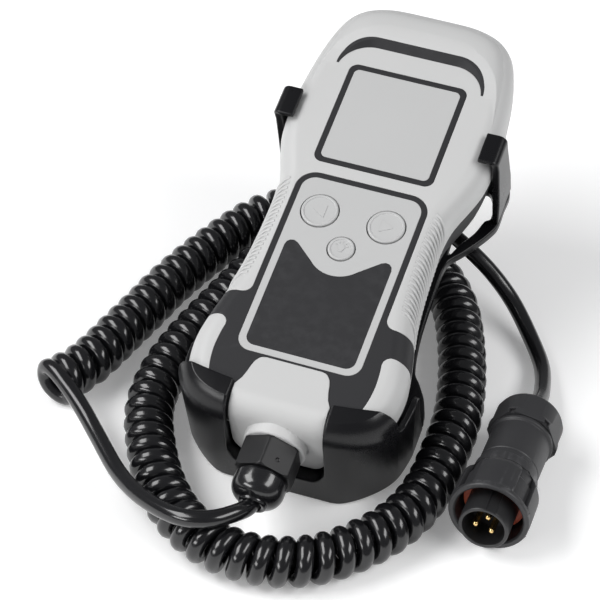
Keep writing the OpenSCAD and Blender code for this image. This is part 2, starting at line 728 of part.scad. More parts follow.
module plug_cores() color([0.5, 0.25, 0.1]) plug_place() {
    cylinder(d = cord_d, h = 12);
    for (p = pin_places) translate([p[0] / 2, p[1] / 2, 12]) cylinder(d = 1.7, h = 6);
    for (p = pin_places) hull() {
        translate([p[0] / 2, p[1] / 2, 17]) cylinder(d = 1.7, h = 0.5);
        translate([p[0], p[1], 29.9]) cylinder(d = 1.7, h = 0.5);
    }
}

front_cover();
end_block();
rear_cover();
cover_gasket();
cover_screws();
grip_overmould();
hood_inlay();
display_frame();
display_cover();
display_module();
keypad_overlay();
keypad_field();
key_up();
key_down();
key_light();
key_switches();
circuit_board();
board_screws();
terminal_block();
cable_cores();
cable_jacket();
gland_body();
gland_locknut();
gland_seal();
gland_dome_nut();
cradle_plate();
cradle_cup();
cradle_arm_left();
cradle_arm_right();
cord_tail();
cord_coil();
cord_lead();
plug_back_nut();
plug_grommet();
plug_body();
plug_sleeve();
plug_insert();
plug_pins();
plug_seal();
plug_cores();
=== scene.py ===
import math
import bmesh
import bpy
from mathutils import Matrix, Vector


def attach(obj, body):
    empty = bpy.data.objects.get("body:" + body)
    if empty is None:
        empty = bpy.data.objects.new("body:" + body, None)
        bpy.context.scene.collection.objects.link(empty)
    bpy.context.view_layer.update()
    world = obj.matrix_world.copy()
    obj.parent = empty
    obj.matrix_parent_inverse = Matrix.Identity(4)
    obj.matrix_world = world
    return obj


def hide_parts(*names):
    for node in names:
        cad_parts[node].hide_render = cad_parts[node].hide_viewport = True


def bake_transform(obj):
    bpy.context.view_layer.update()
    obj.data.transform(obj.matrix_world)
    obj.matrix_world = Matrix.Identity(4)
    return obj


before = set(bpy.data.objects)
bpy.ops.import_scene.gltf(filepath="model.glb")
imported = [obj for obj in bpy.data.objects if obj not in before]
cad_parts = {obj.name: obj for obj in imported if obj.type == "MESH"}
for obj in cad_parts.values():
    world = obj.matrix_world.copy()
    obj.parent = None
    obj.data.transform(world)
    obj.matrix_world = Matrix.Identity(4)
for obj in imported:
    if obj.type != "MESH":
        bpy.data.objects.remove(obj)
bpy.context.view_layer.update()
print("frame loaded")

# places, in millimetres

tilt = math.radians(17)
standFrame = Matrix.Translation((0, -75.7, 0)) @ Matrix.Rotation(tilt, 4, "X")
seatFrame = standFrame @ Matrix.Translation((0, 6, 0))
plugRise = math.radians(3.2)
plugRear = Vector((79.5, -18.5, 13.3))
plugWay = Vector((0, -math.cos(plugRise), math.sin(plugRise)))
plugFrame = Matrix.Translation(plugRear) @ Matrix.Rotation(math.radians(90) - plugRise, 4, "X")
toMetres = Matrix.Scale(0.001, 4)

# camera

cameraSetup = {
    "place": (0.20786, -0.69631, 0.67863),
    "right": (0.94179, 0.33487, 0.02999),
    "up": (-0.24446, 0.62081, 0.74487),
    "back": (0.23082, -0.70884, 0.66653),
    "lens": 153.77,
    "sensor": 36,
    "near": 0.05,
    "far": 20,
}


def makeCamera(setup):
    data = bpy.data.cameras.new("camera")
    data.lens = setup["lens"]
    data.sensor_width = setup["sensor"]
    data.clip_start = setup["near"]
    data.clip_end = setup["far"]
    camera = bpy.data.objects.new("camera", data)
    bpy.context.scene.collection.objects.link(camera)
    turn = Matrix((setup["right"], setup["up"], setup["back"])).transposed().to_4x4()
    camera.matrix_world = Matrix.Translation(setup["place"]) @ turn
    bpy.context.scene.camera = camera


makeCamera(cameraSetup)
print("camera placed")

# node helpers


def addNode(tree, kind, settings=None, values=None):
    # each value is a number, a colour or the socket that feeds that input
    node = tree.nodes.new(kind)
    for key, value in (settings or {}).items():
        setattr(node, key, value)
    for key, value in (values or {}).items():
        if isinstance(value, bpy.types.NodeSocket):
            tree.links.new(value, node.inputs[key])
        else:
            node.inputs[key].default_value = value
    return node


def calc(tree, operation, *values, clamp=False):
    settings = {"operation": operation, "use_clamp": clamp}
    return addNode(tree, "ShaderNodeMath", settings, dict(enumerate(values))).outputs[0]


def newTree(name, kind, inputs, outputs):
    # sockets by label, each with its kind
    tree = bpy.data.node_groups.new(name, kind)
    for way, sockets in (("INPUT", inputs), ("OUTPUT", outputs)):
        for label, kind in sockets.items():
            tree.interface.new_socket(name=label, in_out=way, socket_type="NodeSocket" + kind)
    return tree, tree.nodes.new("NodeGroupInput").outputs


# shader groups


def makeGrainGroup():
    # fine moulded grain with a slow drift of tone, from Object coordinates
    group, given = newTree(
        "mouldedGrain", "ShaderNodeTree",
        {"Grain Size": "Float", "Depth": "Float", "Drift": "Float", "Gloss Drift": "Float",
         "Base Gloss": "Float", "Tone": "Color"},
        {"Color": "Color", "Roughness": "Float", "Normal": "Vector"})
    coord = addNode(group, "ShaderNodeTexCoord").outputs["Object"]
    grain = addNode(group, "ShaderNodeTexNoise", None, {
        "Vector": coord, "Scale": given["Grain Size"], "Detail": 3.0, "Roughness": 0.6}).outputs["Fac"]
    slow = addNode(group, "ShaderNodeTexNoise", None, {
        "Vector": coord, "Scale": 38.0, "Detail": 4.0}).outputs["Fac"]
    centred = calc(group, "SUBTRACT", slow, 0.5)
    drift = calc(group, "MULTIPLY_ADD", centred, given["Drift"], 1.0)
    tint = addNode(group, "ShaderNodeMix", {"data_type": "RGBA", "blend_type": "MULTIPLY"}, {
        "Factor": 1.0, 6: given["Tone"], 7: drift})
    mixed = calc(group, "ADD", calc(group, "MULTIPLY_ADD", grain, 0.5, -0.25), centred)
    gloss = calc(group, "MULTIPLY_ADD", mixed, given["Gloss Drift"], given["Base Gloss"], clamp=True)
    bump = addNode(group, "ShaderNodeBump", None, {
        "Distance": 0.00005, "Height": grain, "Strength": given["Depth"]})
    addNode(group, "NodeGroupOutput", None, {
        "Color": tint.outputs[2], "Roughness": gloss, "Normal": bump.outputs["Normal"]})
    return group


def makeWearGroup():
    # a little lighter and smoother where hands and shelves rub the edges
    group, given = newTree(
        "rubbedEdges", "ShaderNodeTree",
        {"Color": "Color", "Roughness": "Float", "Rubbed Color": "Color", "Amount": "Float"},
        {"Color": "Color", "Roughness": "Float"})
    pointed = addNode(group, "ShaderNodeNewGeometry").outputs["Pointiness"]
    coord = addNode(group, "ShaderNodeTexCoord").outputs["Object"]
    patchy = addNode(group, "ShaderNodeTexNoise", None, {"Vector": coord, "Scale": 260.0, "Detail": 4.0})
    edge = addNode(group, "ShaderNodeMapRange", None, {0: pointed, 1: 0.53, 2: 0.62, 3: 0.0, 4: 1.0})
    broken = addNode(group, "ShaderNodeMapRange", None, {
        0: patchy.outputs["Fac"], 1: 0.42, 2: 0.66, 3: 0.0, 4: 1.0})
    both = calc(group, "MULTIPLY", edge.outputs[0], broken.outputs[0])
    share = calc(group, "MULTIPLY", both, given["Amount"], clamp=True)
    tone = addNode(group, "ShaderNodeMix", {"data_type": "RGBA"}, {
        0: share, 6: given["Color"], 7: given["Rubbed Color"]})
    smooth = calc(group, "MULTIPLY_ADD", share, -0.12, given["Roughness"])
    addNode(group, "NodeGroupOutput", None, {"Color": tone.outputs[2], "Roughness": smooth})
    return group


grainGroup = makeGrainGroup()
wearGroup = makeWearGroup()


def makeFinish(name, tone, gloss, grain, depth, drift, glossDrift, rubbed=None, wear=0.0, sockets=None):
    material = bpy.data.materials.new(name)
    material.use_nodes = True
    tree = material.node_tree
    shader = tree.nodes["Principled BSDF"]
    body = addNode(tree, "ShaderNodeGroup", {"node_tree": grainGroup}, {
        "Grain Size": grain, "Depth": depth, "Drift": drift, "Gloss Drift": glossDrift,
        "Base Gloss": gloss, "Tone": (*tone, 1)})
    tree.links.new(body.outputs["Normal"], shader.inputs["Normal"])
    last = body
    if wear:
        last = addNode(tree, "ShaderNodeGroup", {"node_tree": wearGroup}, {
            "Color": body.outputs["Color"], "Roughness": body.outputs["Roughness"],
            "Rubbed Color": (*rubbed, 1), "Amount": wear})
    tree.links.new(last.outputs["Color"], shader.inputs["Base Color"])
    tree.links.new(last.outputs["Roughness"], shader.inputs["Roughness"])
    for key, value in (sockets or {}).items():
        shader.inputs[key].default_value = value
    return material


# tone, gloss, grain size, grain depth, drift of tone, drift of gloss, then rubbed tone and wear
lightShell = makeFinish("lightShell", (0.504, 0.505, 0.503), 0.5, 3000, 0.16, 0.03, 0.1,
                        (0.58, 0.58, 0.58), 0.3)
panelFilm = makeFinish("panelFilm", (0.462, 0.464, 0.463), 0.36, 2200, 0.08, 0.03, 0.08)
charcoalSkin = makeFinish("charcoalSkin", (0.019, 0.019, 0.021), 0.58, 2800, 0.3, 0.03, 0.04,
                          (0.04, 0.04, 0.043), 0.5, {"Specular IOR Level": 0.33})
cordJacket = makeFinish("cordJacket", (0.006, 0.006, 0.007), 0.2, 900, 0.05, 0.2, 0.14,
                        sockets={"Coat Weight": 0.25, "Coat Roughness": 0.08})
cradleBlack = makeFinish("cradleBlack", (0.004, 0.004, 0.005), 0.29, 1900, 0.04, 0.2, 0.12,
                         (0.018, 0.018, 0.019), 0.2, {"Specular IOR Level": 0.36})
glandGrey = makeFinish("glandGrey", (0.009, 0.009, 0.01), 0.45, 2400, 0.2, 0.12, 0.12,
                       (0.05, 0.05, 0.05), 0.6, {"Specular IOR Level": 0.35})
glossBlack = makeFinish("glossBlack", (0.008, 0.008, 0.009), 0.2, 1500, 0.05, 0.2, 0.1,
                        sockets={"Coat Weight": 0.4, "Coat Roughness": 0.06})
plugGrey = makeFinish("plugGrey", (0.026, 0.026, 0.028), 0.46, 2400, 0.28, 0.14, 0.12,
                      (0.07, 0.07, 0.074), 0.7)
partBlack = makeFinish("partBlack", (0.014, 0.014, 0.015), 0.4, 2400, 0.2, 0.2, 0.12)
sealRubber = makeFinish("sealRubber", (0.02, 0.02, 0.02), 0.7, 3000, 0.3, 0.2, 0.1)
sealRed = makeFinish("sealRed", (0.55, 0.085, 0.03), 0.45, 2600, 0.15, 0.1, 0.1)
contactGold = makeFinish("contactGold", (0.86, 0.6, 0.26), 0.22, 3200, 0.06, 0.06, 0.14,
                         sockets={"Metallic": 1.0})
screwSteel = makeFinish("screwSteel", (0.6, 0.6, 0.62), 0.32, 3200, 0.2, 0.06, 0.16,
                        sockets={"Metallic": 1.0})
boardGreen = makeFinish("boardGreen", (0.02, 0.12, 0.06), 0.35, 1500, 0.1, 0.2, 0.1)
displayGrey = makeFinish("displayGrey", (0.1, 0.12, 0.1), 0.2, 1500, 0.05, 0.05, 0.05)
coreSheath = makeFinish("coreSheath", (0.25, 0.09, 0.03), 0.35, 1800, 0.1, 0.15, 0.1)
floorPaint = makeFinish("floorPaint", (0.93, 0.93, 0.93), 0.8, 600, 0.05, 0.01, 0.05,
                        sockets={"Emission Color": (1, 1, 1, 1), "Emission Strength": 0.2})
print("finishes mixed")

# outlines, in millimetres


def bend(a, b, c, d, t):
    return [0.5 * (2 * q + (r - p) * t + (2 * p - 5 * q + 4 * r - s) * t * t
                   + (3 * q - p - 3 * r + s) * t ** 3) for p, q, r, s in zip(a, b, c, d)]


def openCurve(points, count):
    # through the points, without the last one
    last = len(points) - 1
    return [bend(points[max(i - 1, 0)], points[i], points[i + 1], points[min(i + 2, last)], k / count)
            for i in range(last) for k in range(count)]


def ringCurve(points, count):
    n = len(points)
    return [bend(points[i - 1], points[i], points[(i + 1) % n], points[(i + 2) % n], k / count)
            for i in range(n) for k in range(count)]


def arc(cx, cy, rx, ry, start, end, count):
    # from one angle to another, both ends kept
    turns = [math.radians(start + (end - start) * k / count) for k in range(count + 1)]
    return [[cx + rx * math.cos(t), cy + ry * math.sin(t)] for t in turns]


def disc(cx, cy, radius, count=64, start=0):
    return arc(cx, cy, radius, radius, start, start + 360, count)[:-1]


def oblong(half, low, high):
    return [[-half, low], [half, low], [half, high], [-half, high]]


def roundRect(width, low, high, radius):
    x = width / 2 - radius
    y = low + radius
    top = high - radius
    corners = ((x, y, -90), (x, top, 0), (-x, top, 90), (-x, y, 180))
    return [p for cx, cy, start in corners for p in arc(cx, cy, radius, radius, start, start + 90, 9)]


def ringSector(start, spread, inner, outer, count):
    # an outline between two radii over an angle, anticlockwise
    ends = (start, start + spread, count)
    return arc(0, 0, outer, outer, *ends) + arc(0, 0, inner, inner, *ends)[::-1]


def flipped(points):
    return [[-x, y] for x, y in points[::-1]]


def mirrored(half):
    return half + [[-x, y] for x, y in half[:0:-1] if x > 0.01]


def anticlockwise(points):
    area = sum(a[0] * b[1] - b[0] * a[1] for a, b in zip(points, points[1:] + points[:1]))
    return points if area > 0 else points[::-1]


def inset(points, depth):
    n = len(points)
    result = []
    for i in range(n):
        ahead = points[(i + 1) % n]
        behind = points[i - 1]
        tx = ahead[0] - behind[0]
        ty = ahead[1] - behind[1]
        size = math.hypot(tx, ty)
        result.append([points[i][0] - depth * ty / size, points[i][1] + depth * tx / size])
    return result


# solids, in millimetres

mergeWithin = 0.0005
arrisAngle = math.radians(40)
boxGap = 0.05  # skins this far inside their solids


def meshOf(name, points, faces, edges=()):
    mesh = bpy.data.meshes.new(name)
    mesh.from_pydata([tuple(p) for p in points], list(edges), faces)
    mesh.update()
    made = bpy.data.objects.new(name, mesh)
    bpy.context.scene.collection.objects.link(made)
    return made


def outwards(made):
    work = bmesh.new()
    work.from_mesh(made.data)
    bmesh.ops.remove_doubles(work, verts=work.verts, dist=mergeWithin)
    bmesh.ops.recalc_face_normals(work, faces=work.faces)
    work.to_mesh(made.data)
    work.free()
    return made


def skin(name, rings):
    # rings of equal length joined one to the next, closed at both ends
    n = len(rings[0])
    m = len(rings)
    faces = [(j * n + i, j * n + (i + 1) % n, (j + 1) * n + (i + 1) % n, (j + 1) * n + i)
             for j in range(m - 1) for i in range(n)]
    faces.append(tuple(range(n))[::-1])
    faces.append(tuple((m - 1) * n + i for i in range(n)))
    return meshOf(name, [p for ring in rings for p in ring], faces)


def loft(name, rings):
    # rings are (height, outline) from the bottom up, outlines anticlockwise and of equal length
    return skin(name, [[(x, y, z) for x, y in outline] for z, outline in rings])


def insetLoft(name, outline, steps):
    return loft(name, [(z, ringCurve(inset(outline, depth + boxGap), 4)) for z, depth in steps])


def prism(name, outline, low, high):
    return loft(name, [(low, outline), (high, outline)])


def sideCut(name, points, half=60):
    # an outline in Y and Z, drawn out across X
    return outwards(skin(name, [[(x, y, z) for y, z in points] for x in (-half, half)]))


def turned(name, profile, count=64, centre=(0, 0)):
    # a profile of (radius, height) turned about Z, closed on the axis where the radius is 0
    points = []
    rings = []
    for radius, z in profile:
        outline = disc(*centre, radius, count) if radius > 1e-6 else [centre]
        rings.append(range(len(points), len(points) + len(outline)))
        points += [(x, y, z) for x, y in outline]
    faces = []
    for low, high in zip(rings, rings[1:] + ([] if len(rings[0]) == 1 else [rings[0]])):
        for k in range(count):
            corners = [ring[i % len(ring)] for ring, i in ((low, k), (low, k + 1), (high, k + 1), (high, k))]
            face = tuple(dict.fromkeys(corners))
            if len(face) > 2:
                faces.append(face)
    return outwards(meshOf(name, points, faces))


def alongY(made, y, z):
    # a turned piece laid along the handset: its height runs out of the cable end
    made.data.transform(Matrix.Translation((0, y, z)) @ Matrix.Rotation(math.radians(90), 4, "X"))
    return made


def settle(made):
    # what the modifiers show becomes the plain mesh
    seen = made.evaluated_get(bpy.context.evaluated_depsgraph_get())
    mesh = bpy.data.meshes.new_from_object(seen)
    made.modifiers.clear()
    old = made.data
    made.data = mesh
    bpy.data.meshes.remove(old)
    return made


def combine(base, tools, operation):
    for tool in tools if isinstance(tools, list) else [tools]:
        modifier = base.modifiers.new("work", "BOOLEAN")
        modifier.object = tool
        modifier.operation = operation
        modifier.solver = "MANIFOLD"
        settle(base)
        bpy.data.objects.remove(tool)
    return base


def cutAway(base, tools):
    return combine(base, tools, "DIFFERENCE")


def keepInside(base, tools):
    return combine(base, tools, "INTERSECT")


def addOn(base, tools):
    return combine(base, tools, "UNION")


def soften(made, width, segments=2):
    # rounded arrises, many-sided faces split first so that none folds over a hole
    work = bmesh.new()
    work.from_mesh(made.data)
    bmesh.ops.triangulate(work, faces=[face for face in work.faces if len(face.verts) > 4])
    work.to_mesh(made.data)
    work.free()
    bevel = made.modifiers.new("arris", "BEVEL")
    bevel.width = width
    bevel.segments = segments
    bevel.limit_method = "ANGLE"
    bevel.angle_limit = arrisAngle
    bevel.use_clamp_overlap = False
    return settle(made)


def fit(made, name, place, finish, body, standsFor=(), angle=32):
    # to the row's frame in metres, dressed, and on its body
    made.name = name
    made.data.name = name
    made.data.transform(toMetres @ place)
    made.data.shade_smooth()
    made.data.set_sharp_from_angle(angle=math.radians(angle))
    weighted = made.modifiers.new("flats", "WEIGHTED_NORMAL")
    weighted.keep_sharp = True
    settle(made)
    made.data.materials.clear()
    made.data.materials.append(finish)
    if body:
        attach(made, body)
    if standsFor:
        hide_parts(*standsFor)
    return made


def seat(made, name, finish, node, angle=32):
    return fit(made, name, seatFrame, finish, "handset", [node], angle)


# cords

cords = {
    "wire": 6.4,
    "coilAcross": 19.0,
    "pitch": 7.1,
    "before": 3.6,
    "firstTurn": 63,
    "firstAcross": 14.1,
    "runOut": 26.0,
    "step": 1.6,
    "coilSides": 14,
    "tailSides": 20,
    "leastX": -99.6,
    "leastY": -125.5,
    "floorZ": 3.2,
}
exitPlace = Vector((0, -102.100, 19.638))
exitWay = Vector((0, -math.cos(tilt), -math.sin(tilt)))
tailRoute = [[-1.1, -110.2, 22.3], [-4.8, -115.4, 23.2], [-11, -120.2, 23.8], [-20.3, -121.4, 22.6],
             [-31.7, -116.5, 19.2], [-43.4, -108.6, 15.4], [-54.2, -98.7, 12.4], [-68.6, -83.4, 11.6],
             [-77.2, -74.9, 12.4], [-84.4, -69, 14], [-90.9, -64.7, 15.8], [-96.6, -61, 15.6],
             [-99.4, -59.6, 13], [-99.4, -59.9, 9.8], [-97.2, -61.2, 6.4], [-93.8, -62, 4.2],
             [-89.6, -62.2, 3.5]]
coilFlat = [[-91, -57.6], [-87, -48.8], [-84.2, -38.5], [-82.2, -29], [-79.8, -18.5], [-77.5, -8],
            [-75.3, 3], [-69.7, 22.5], [-62.5, 42], [-54, 58.5], [-41, 68.5], [-23, 71.5], [-4, 67.5],
            [12, 58.5], [25, 45.5], [35, 31.5], [43, 12.5], [49, -6.5], [53, -25.5], [54.1, -45.5],
            [54, -63.5], [50.5, -80.5], [42, -96.5], [28, -111.5], [11, -119], [-7, -119], [-24, -111],
            [-38, -96.5], [-49, -78.5], [-56, -61.5], [-58, -42.5], [-56, -22.5], [-52, -2.5]]
coilRise = [[-48, 15.5, 10], [-43, 32.5, 12.5], [-34, 44.5, 18.4], [-23, 52.5, 25], [-11, 57.5, 29.6],
            [2, 58.5, 30.6]]
coilRoute = [[x, y, 9.8] for x, y in coilFlat] + coilRise
leadRoute = [[13, 57.5, 30.4], [25, 53.5, 28.6], [35, 50.5, 24.5], [45, 47.5, 18.5], [55, 42.5, 11.5],
             [65, 32.5, 6], [74, 18.5, 4.4], [78.5, 1.5, 7.6], [79.4, -10.5, 11.8]]


def evenly(points, step):
    points = [Vector(p) for p in points]
    along = [0.0]
    for a, b in zip(points, points[1:]):
        along.append(along[-1] + (b - a).length)
    count = max(2, round(along[-1] / step) + 1)
    result = []
    j = 0
    for k in range(count):
        at = along[-1] * k / (count - 1)
        while j < len(points) - 2 and along[j + 1] < at:
            j += 1
        share = (at - along[j]) / max(along[j + 1] - along[j], 1e-9)
        result.append(points[j].lerp(points[j + 1], share))
    return result


def frames(points):
    # a tangent and a side vector at each point, turned as little as possible
    last = len(points) - 1
    ways = [(points[min(i + 1, last)] - points[max(i - 1, 0)]).normalized() for i in range(last + 1)]
    side = ways[0].cross(Vector((0, 0, 1))).normalized()
    result = []
    for way in ways:
        side = (side - way * side.dot(way)).normalized()
        result.append((way, side.copy(), way.cross(side)))
    return result


def tube(name, path, diameter, sides):
    rings = []
    for at, (way, side, up) in zip(path, frames(path)):
        rings.append([at + side * x + up * y for x, y in disc(0, 0, diameter / 2, sides)])
    return outwards(skin(name, rings))


def heldAt(value, limit, ease):
    # a value kept above its limit, levelling off softly as it comes near
    if value >= limit + ease:
        return value
    return limit + ease * math.exp((value - limit - ease) / ease)


def onFloor(path):
    # centres kept where the wire touches the floor, and inside the box of the whole object
    return [Vector((heldAt(p.x, cords["leastX"], 1.0), heldAt(p.y, cords["leastY"], 1.0),
                    heldAt(p.z, cords["floorZ"], 0.2))) for p in path]


def eased(path, rounds, upTo=None):
    # kinks taken out of a path, its two ends kept
    last = len(path) - 1 if upTo is None else upTo
    for _ in range(rounds):
        between = [(path[i - 1] + path[i] * 2 + path[i + 1]) / 4 for i in range(1, last)]
        path = [path[0]] + between + path[last:]
    return path


def curlPath(sizes):
    # the wire leaves the tail's last ring, curls round the middle line, and runs out into the lead
    start = Vector(coilRoute[0]) - coilWay * sizes["before"]
    middle = evenly([start] + openCurve(coilRoute, 10) + [coilRoute[-1]], 1.0)
    around = frames(middle)
    length = sum((b - a).length for a, b in zip(middle, middle[1:]))
    big = (sizes["coilAcross"] - sizes["wire"]) / 2
    first = sizes["firstAcross"] / 2
    path = []
    fromStart = 0.0
    turn = math.radians(sizes["firstTurn"])
    while fromStart < length:
        at = fromStart / length * (len(middle) - 1)
        j = min(int(at), len(middle) - 2)
        here = middle[j].lerp(middle[j + 1], at - j)
        way, side, up = around[j]
        run = min(1.0, (length - fromStart) / sizes["runOut"])
        settled = min(1.0, fromStart / sizes["pitch"])
        reach = (first + (big - first) * settled) * run * run * (3 - 2 * run)
        path.append(here + (side * math.cos(turn) + up * math.sin(turn)) * reach)
        pitch = sizes["pitch"] * (1 + 4 * (1 - run) ** 2)
        ahead = sizes["step"] * pitch / math.hypot(pitch, 2 * math.pi * max(reach, 1.0))
        fromStart += ahead
        turn -= 2 * math.pi * ahead / pitch
    return eased(onFloor(path), 1), (math.radians(sizes["firstTurn"]) - turn) / (2 * math.pi)


def pathLength(path):
    return sum((b - a).length for a, b in zip(path, path[1:])) / 1000


coilWay = (Vector(coilRoute[1]) - Vector(coilRoute[0])).normalized()
curled, turnCount = curlPath(cords)
tailEnd = Vector(tailRoute[-1])
tailPoints = [exitPlace, exitPlace + exitWay * 3] + tailRoute + [curled[8]]
tailPath = evenly(openCurve(tailPoints, 12)[:-11], 1.5)
tailPath = eased(onFloor(eased(tailPath, 12, 12)), 2)
cordTail = tube("cordTail", tailPath, cords["wire"], cords["tailSides"])
fit(cordTail, "cordTail", Matrix.Identity(4), cordJacket, None, ["cord_tail"])
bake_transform(cordTail)

coilEnd = Vector(coilRoute[-1])
endWay = (coilEnd - Vector(coilRoute[-2])).normalized()
leadPoints = [coilEnd, coilEnd + endWay * 4] + leadRoute + [plugRear - plugWay * 4, plugRear + plugWay * 2]
leadPath = evenly(openCurve(leadPoints, 12) + leadPoints[-1:], 1.5)
curlyPath = [tailEnd] + curled[1:] + leadPath[1:]
cordCurly = tube("cordCurly", curlyPath, cords["wire"], cords["coilSides"])
fit(cordCurly, "cordCurly", Matrix.Identity(4), cordJacket, "cradle", ["cord_coil", "cord_lead"], 60)
print("cords laid:", round(turnCount, 1), "turns, tail", round(pathLength(tailPath), 3), "m, curl",
      round(pathLength(curled), 3), "m, lead", round(pathLength(leadPath), 3), "m")

# outlines of the handset

handset = {
    "length": 190,
    "gripHalf": 40.25,
    "headHalf": 41.2,
    "waistHalf": 33,
    "partZ": 30,
    "faceZ": 43.5,
    "hoodZ": 46.7,
    "glandZ": 26.5,
    "wall": 2.4,
    "seam": 0.12,
    "edgeHigh": 9,
    "edgeWide": 7.5,
}
endY = handset["length"]
gw = handset["gripHalf"]
hw = handset["headHalf"]
ww = handset["waistHalf"]
partZ = handset["partZ"]
faceZ = handset["faceZ"]
hoodZ = handset["hoodZ"]
glandZ = handset["glandZ"]
wall = handset["wall"]
edgeZ = faceZ - handset["edgeHigh"]
endHalf = [[0, 0], [14, 0.2], [25, 1.6], [gw - 6.4, 6.2], [gw - 1.5, 14.4], [gw, 27]]
bodyHalf = endHalf + [
    [gw - 2.4, 42], [ww + 1.8, 56], [ww + 0.3, 72], [ww, 90], [ww + 1.2, 101], [hw - 4, 110], [hw - 1.2, 119],
    [hw, 129], [hw, 140], [hw - 1.2, 154], [hw - 3.2, 167], [hw - 7, endY - 11], [hw - 13.4, endY - 4],
    [hw - 22, endY - 0.8], [11, endY], [0, endY]]
bodyOutline = mirrored(openCurve(bodyHalf, 2))
keypad = {"width": 47, "low": 23.5, "high": 102.1, "corner": 5.5, "sheet": 0.9}
display = {"across": 42.6, "centreY": 133, "corner": 2.2, "deep": 2, "lineOut": 2.2, "lineCorner": 3.4}


def edgeArc(gap, topGap):
    # (height, depth) round the upper edge, from the side to the face
    wide = handset["edgeWide"]
    return arc(edgeZ, wide, handset["edgeHigh"] + topGap, -wide - gap, 90, 0, 15)


def edgeSteps(gap, topGap, low):
    return [(low, -gap)] + edgeArc(gap, topGap)


def keypadOutline(grow):
    width = keypad["width"] + 2 * grow
    return roundRect(width, keypad["low"] - grow, keypad["high"] + grow, keypad["corner"])


def displayOutline(grow, radius):
    half = display["across"] / 2 + grow
    return roundRect(2 * half, display["centreY"] - half, display["centreY"] + half, radius)


saddleRight = [[18, -4], [18, 9], [17.2, 10.4], [16.3, 12], [15.4, 15], [14.8, 18], [14.2, 19.8], [13, 21.4],
               [11.9, 22.1], [10.5, 22.4]]
saddleOutline = saddleRight + flipped(saddleRight)
patchEdge = openCurve([[27, 6], [29.4, 14], [30.4, 21], [30.2, 27.5], [29.7, 31.5]], 4) + [
    [29.7, 31.5], [29.9, 33.1], [30.8, 34.4], [32.2, 35.2], [34, 35.4]]
patchRight = [[60, 6], [60, 34.5]] + patchEdge[::-1]


slotShape = {"wide": 6, "deep": 8, "high": 68, "fromTo": (-26, 14)}


def slotForm(half, low):
    # the way for the cable block through the end, rounded below
    wide = slotShape["wide"]
    deep = slotShape["deep"]
    high = low + slotShape["high"]
    left = arc(wide - half, low + deep, -wide, -deep, 0, 90, 9)
    outline = [[-half, high]] + left + flipped(left) + [[half, high]]
    return outwards(skin("slot", [[(x, y, z) for x, z in outline] for y in slotShape["fromTo"]]))


hoodShape = {
    "half": 28.7,
    "corner": 13,
    "low": 140,
    "high": 153,
    "seam": 0.8,
    "lip": [[faceZ - 5, 1.8], [faceZ - 1.6, 3.6], [faceZ + 1, 6.2], [hoodZ - 0.8, 9.6], [hoodZ, 14]],
    "ramp": [(138, faceZ - 6), (138, faceZ - 1.3), (147, faceZ - 0.6), (155, faceZ), (161, faceZ + 0.8),
             (167, faceZ + 2.1), (173, hoodZ + 0.1), (200, hoodZ + 0.1), (200, faceZ - 6)],
}


def recessForm(grow):
    half = hoodShape["half"] + grow
    radius = hoodShape["corner"]
    right = [[half, hoodShape["low"] - grow]]
    right += arc(half - radius, hoodShape["high"] + grow, radius, radius, 0, 90, 18)
    outline = right + flipped(right)
    return loft("recess", [(faceZ, outline), (faceZ + 5, inset(outline, -5))])


def hoodForm():
    lip = hoodShape["lip"]
    made = insetLoft("hood", bodyOutline, openCurve(lip, 5) + lip[-1:])
    return keepInside(made, sideCut("ramp", hoodShape["ramp"]))


gripShape = {
    "low": partZ + 1,
    "bandY": 46.5,
    "bandX": 29.7,
    "fillet": 4,
    "cornerX": 18,
    "cornerY": 96.6,
    "corner": 7.7,
    "under": [(partZ, 1), (edgeZ, 1), (faceZ - 4, 2.6), (faceZ - 2, 5), (faceZ - 1, 9)],
}


def overmouldForm(grow=0.0):
    band = gripShape["bandY"]
    side = gripShape["bandX"]
    fillet = gripShape["fillet"]
    corner = gripShape["corner"] + grow
    low = gripShape["low"]
    half = [[0, -1], [60, -1], [60, band + grow], [side, band + grow]]
    half += arc(side, band + fillet, grow - fillet, grow - fillet, 80, 0, 8)
    half += arc(gripShape["cornerX"], gripShape["cornerY"], corner, corner, 0, 90, 10)
    made = prism("grip", mirrored(half + [[0, gripShape["cornerY"] + corner]]), low, 80)
    openings = [keypadOutline(-grow)]
    openings += [inset(outline, grow) for outline in (saddleOutline, patchRight, flipped(patchRight))]
    return cutAway(made, [prism("opening", outline, low - 1, 81) for outline in openings])


# covers

boss = {
    "places": [(x * side, y) for side in (-1, 1) for x, y in ((23, 24), (20.5, 105), (24, 163))],
    "radius": 4,
    "low": 5.5,
    "hole": 1.6,
    "sink": 3.2,
    "sinkTop": 8.5,
}
keys = {
    "keyUp": {"radius": 7, "x": -13, "y": 88, "body": "up_key", "node": "key_up"},
    "keyDown": {"radius": 7, "x": 13, "y": 88, "body": "down_key", "node": "key_down"},
    "keyLight": {"radius": 5, "x": 0, "y": 74.2, "body": "light_key", "node": "key_light"},
}


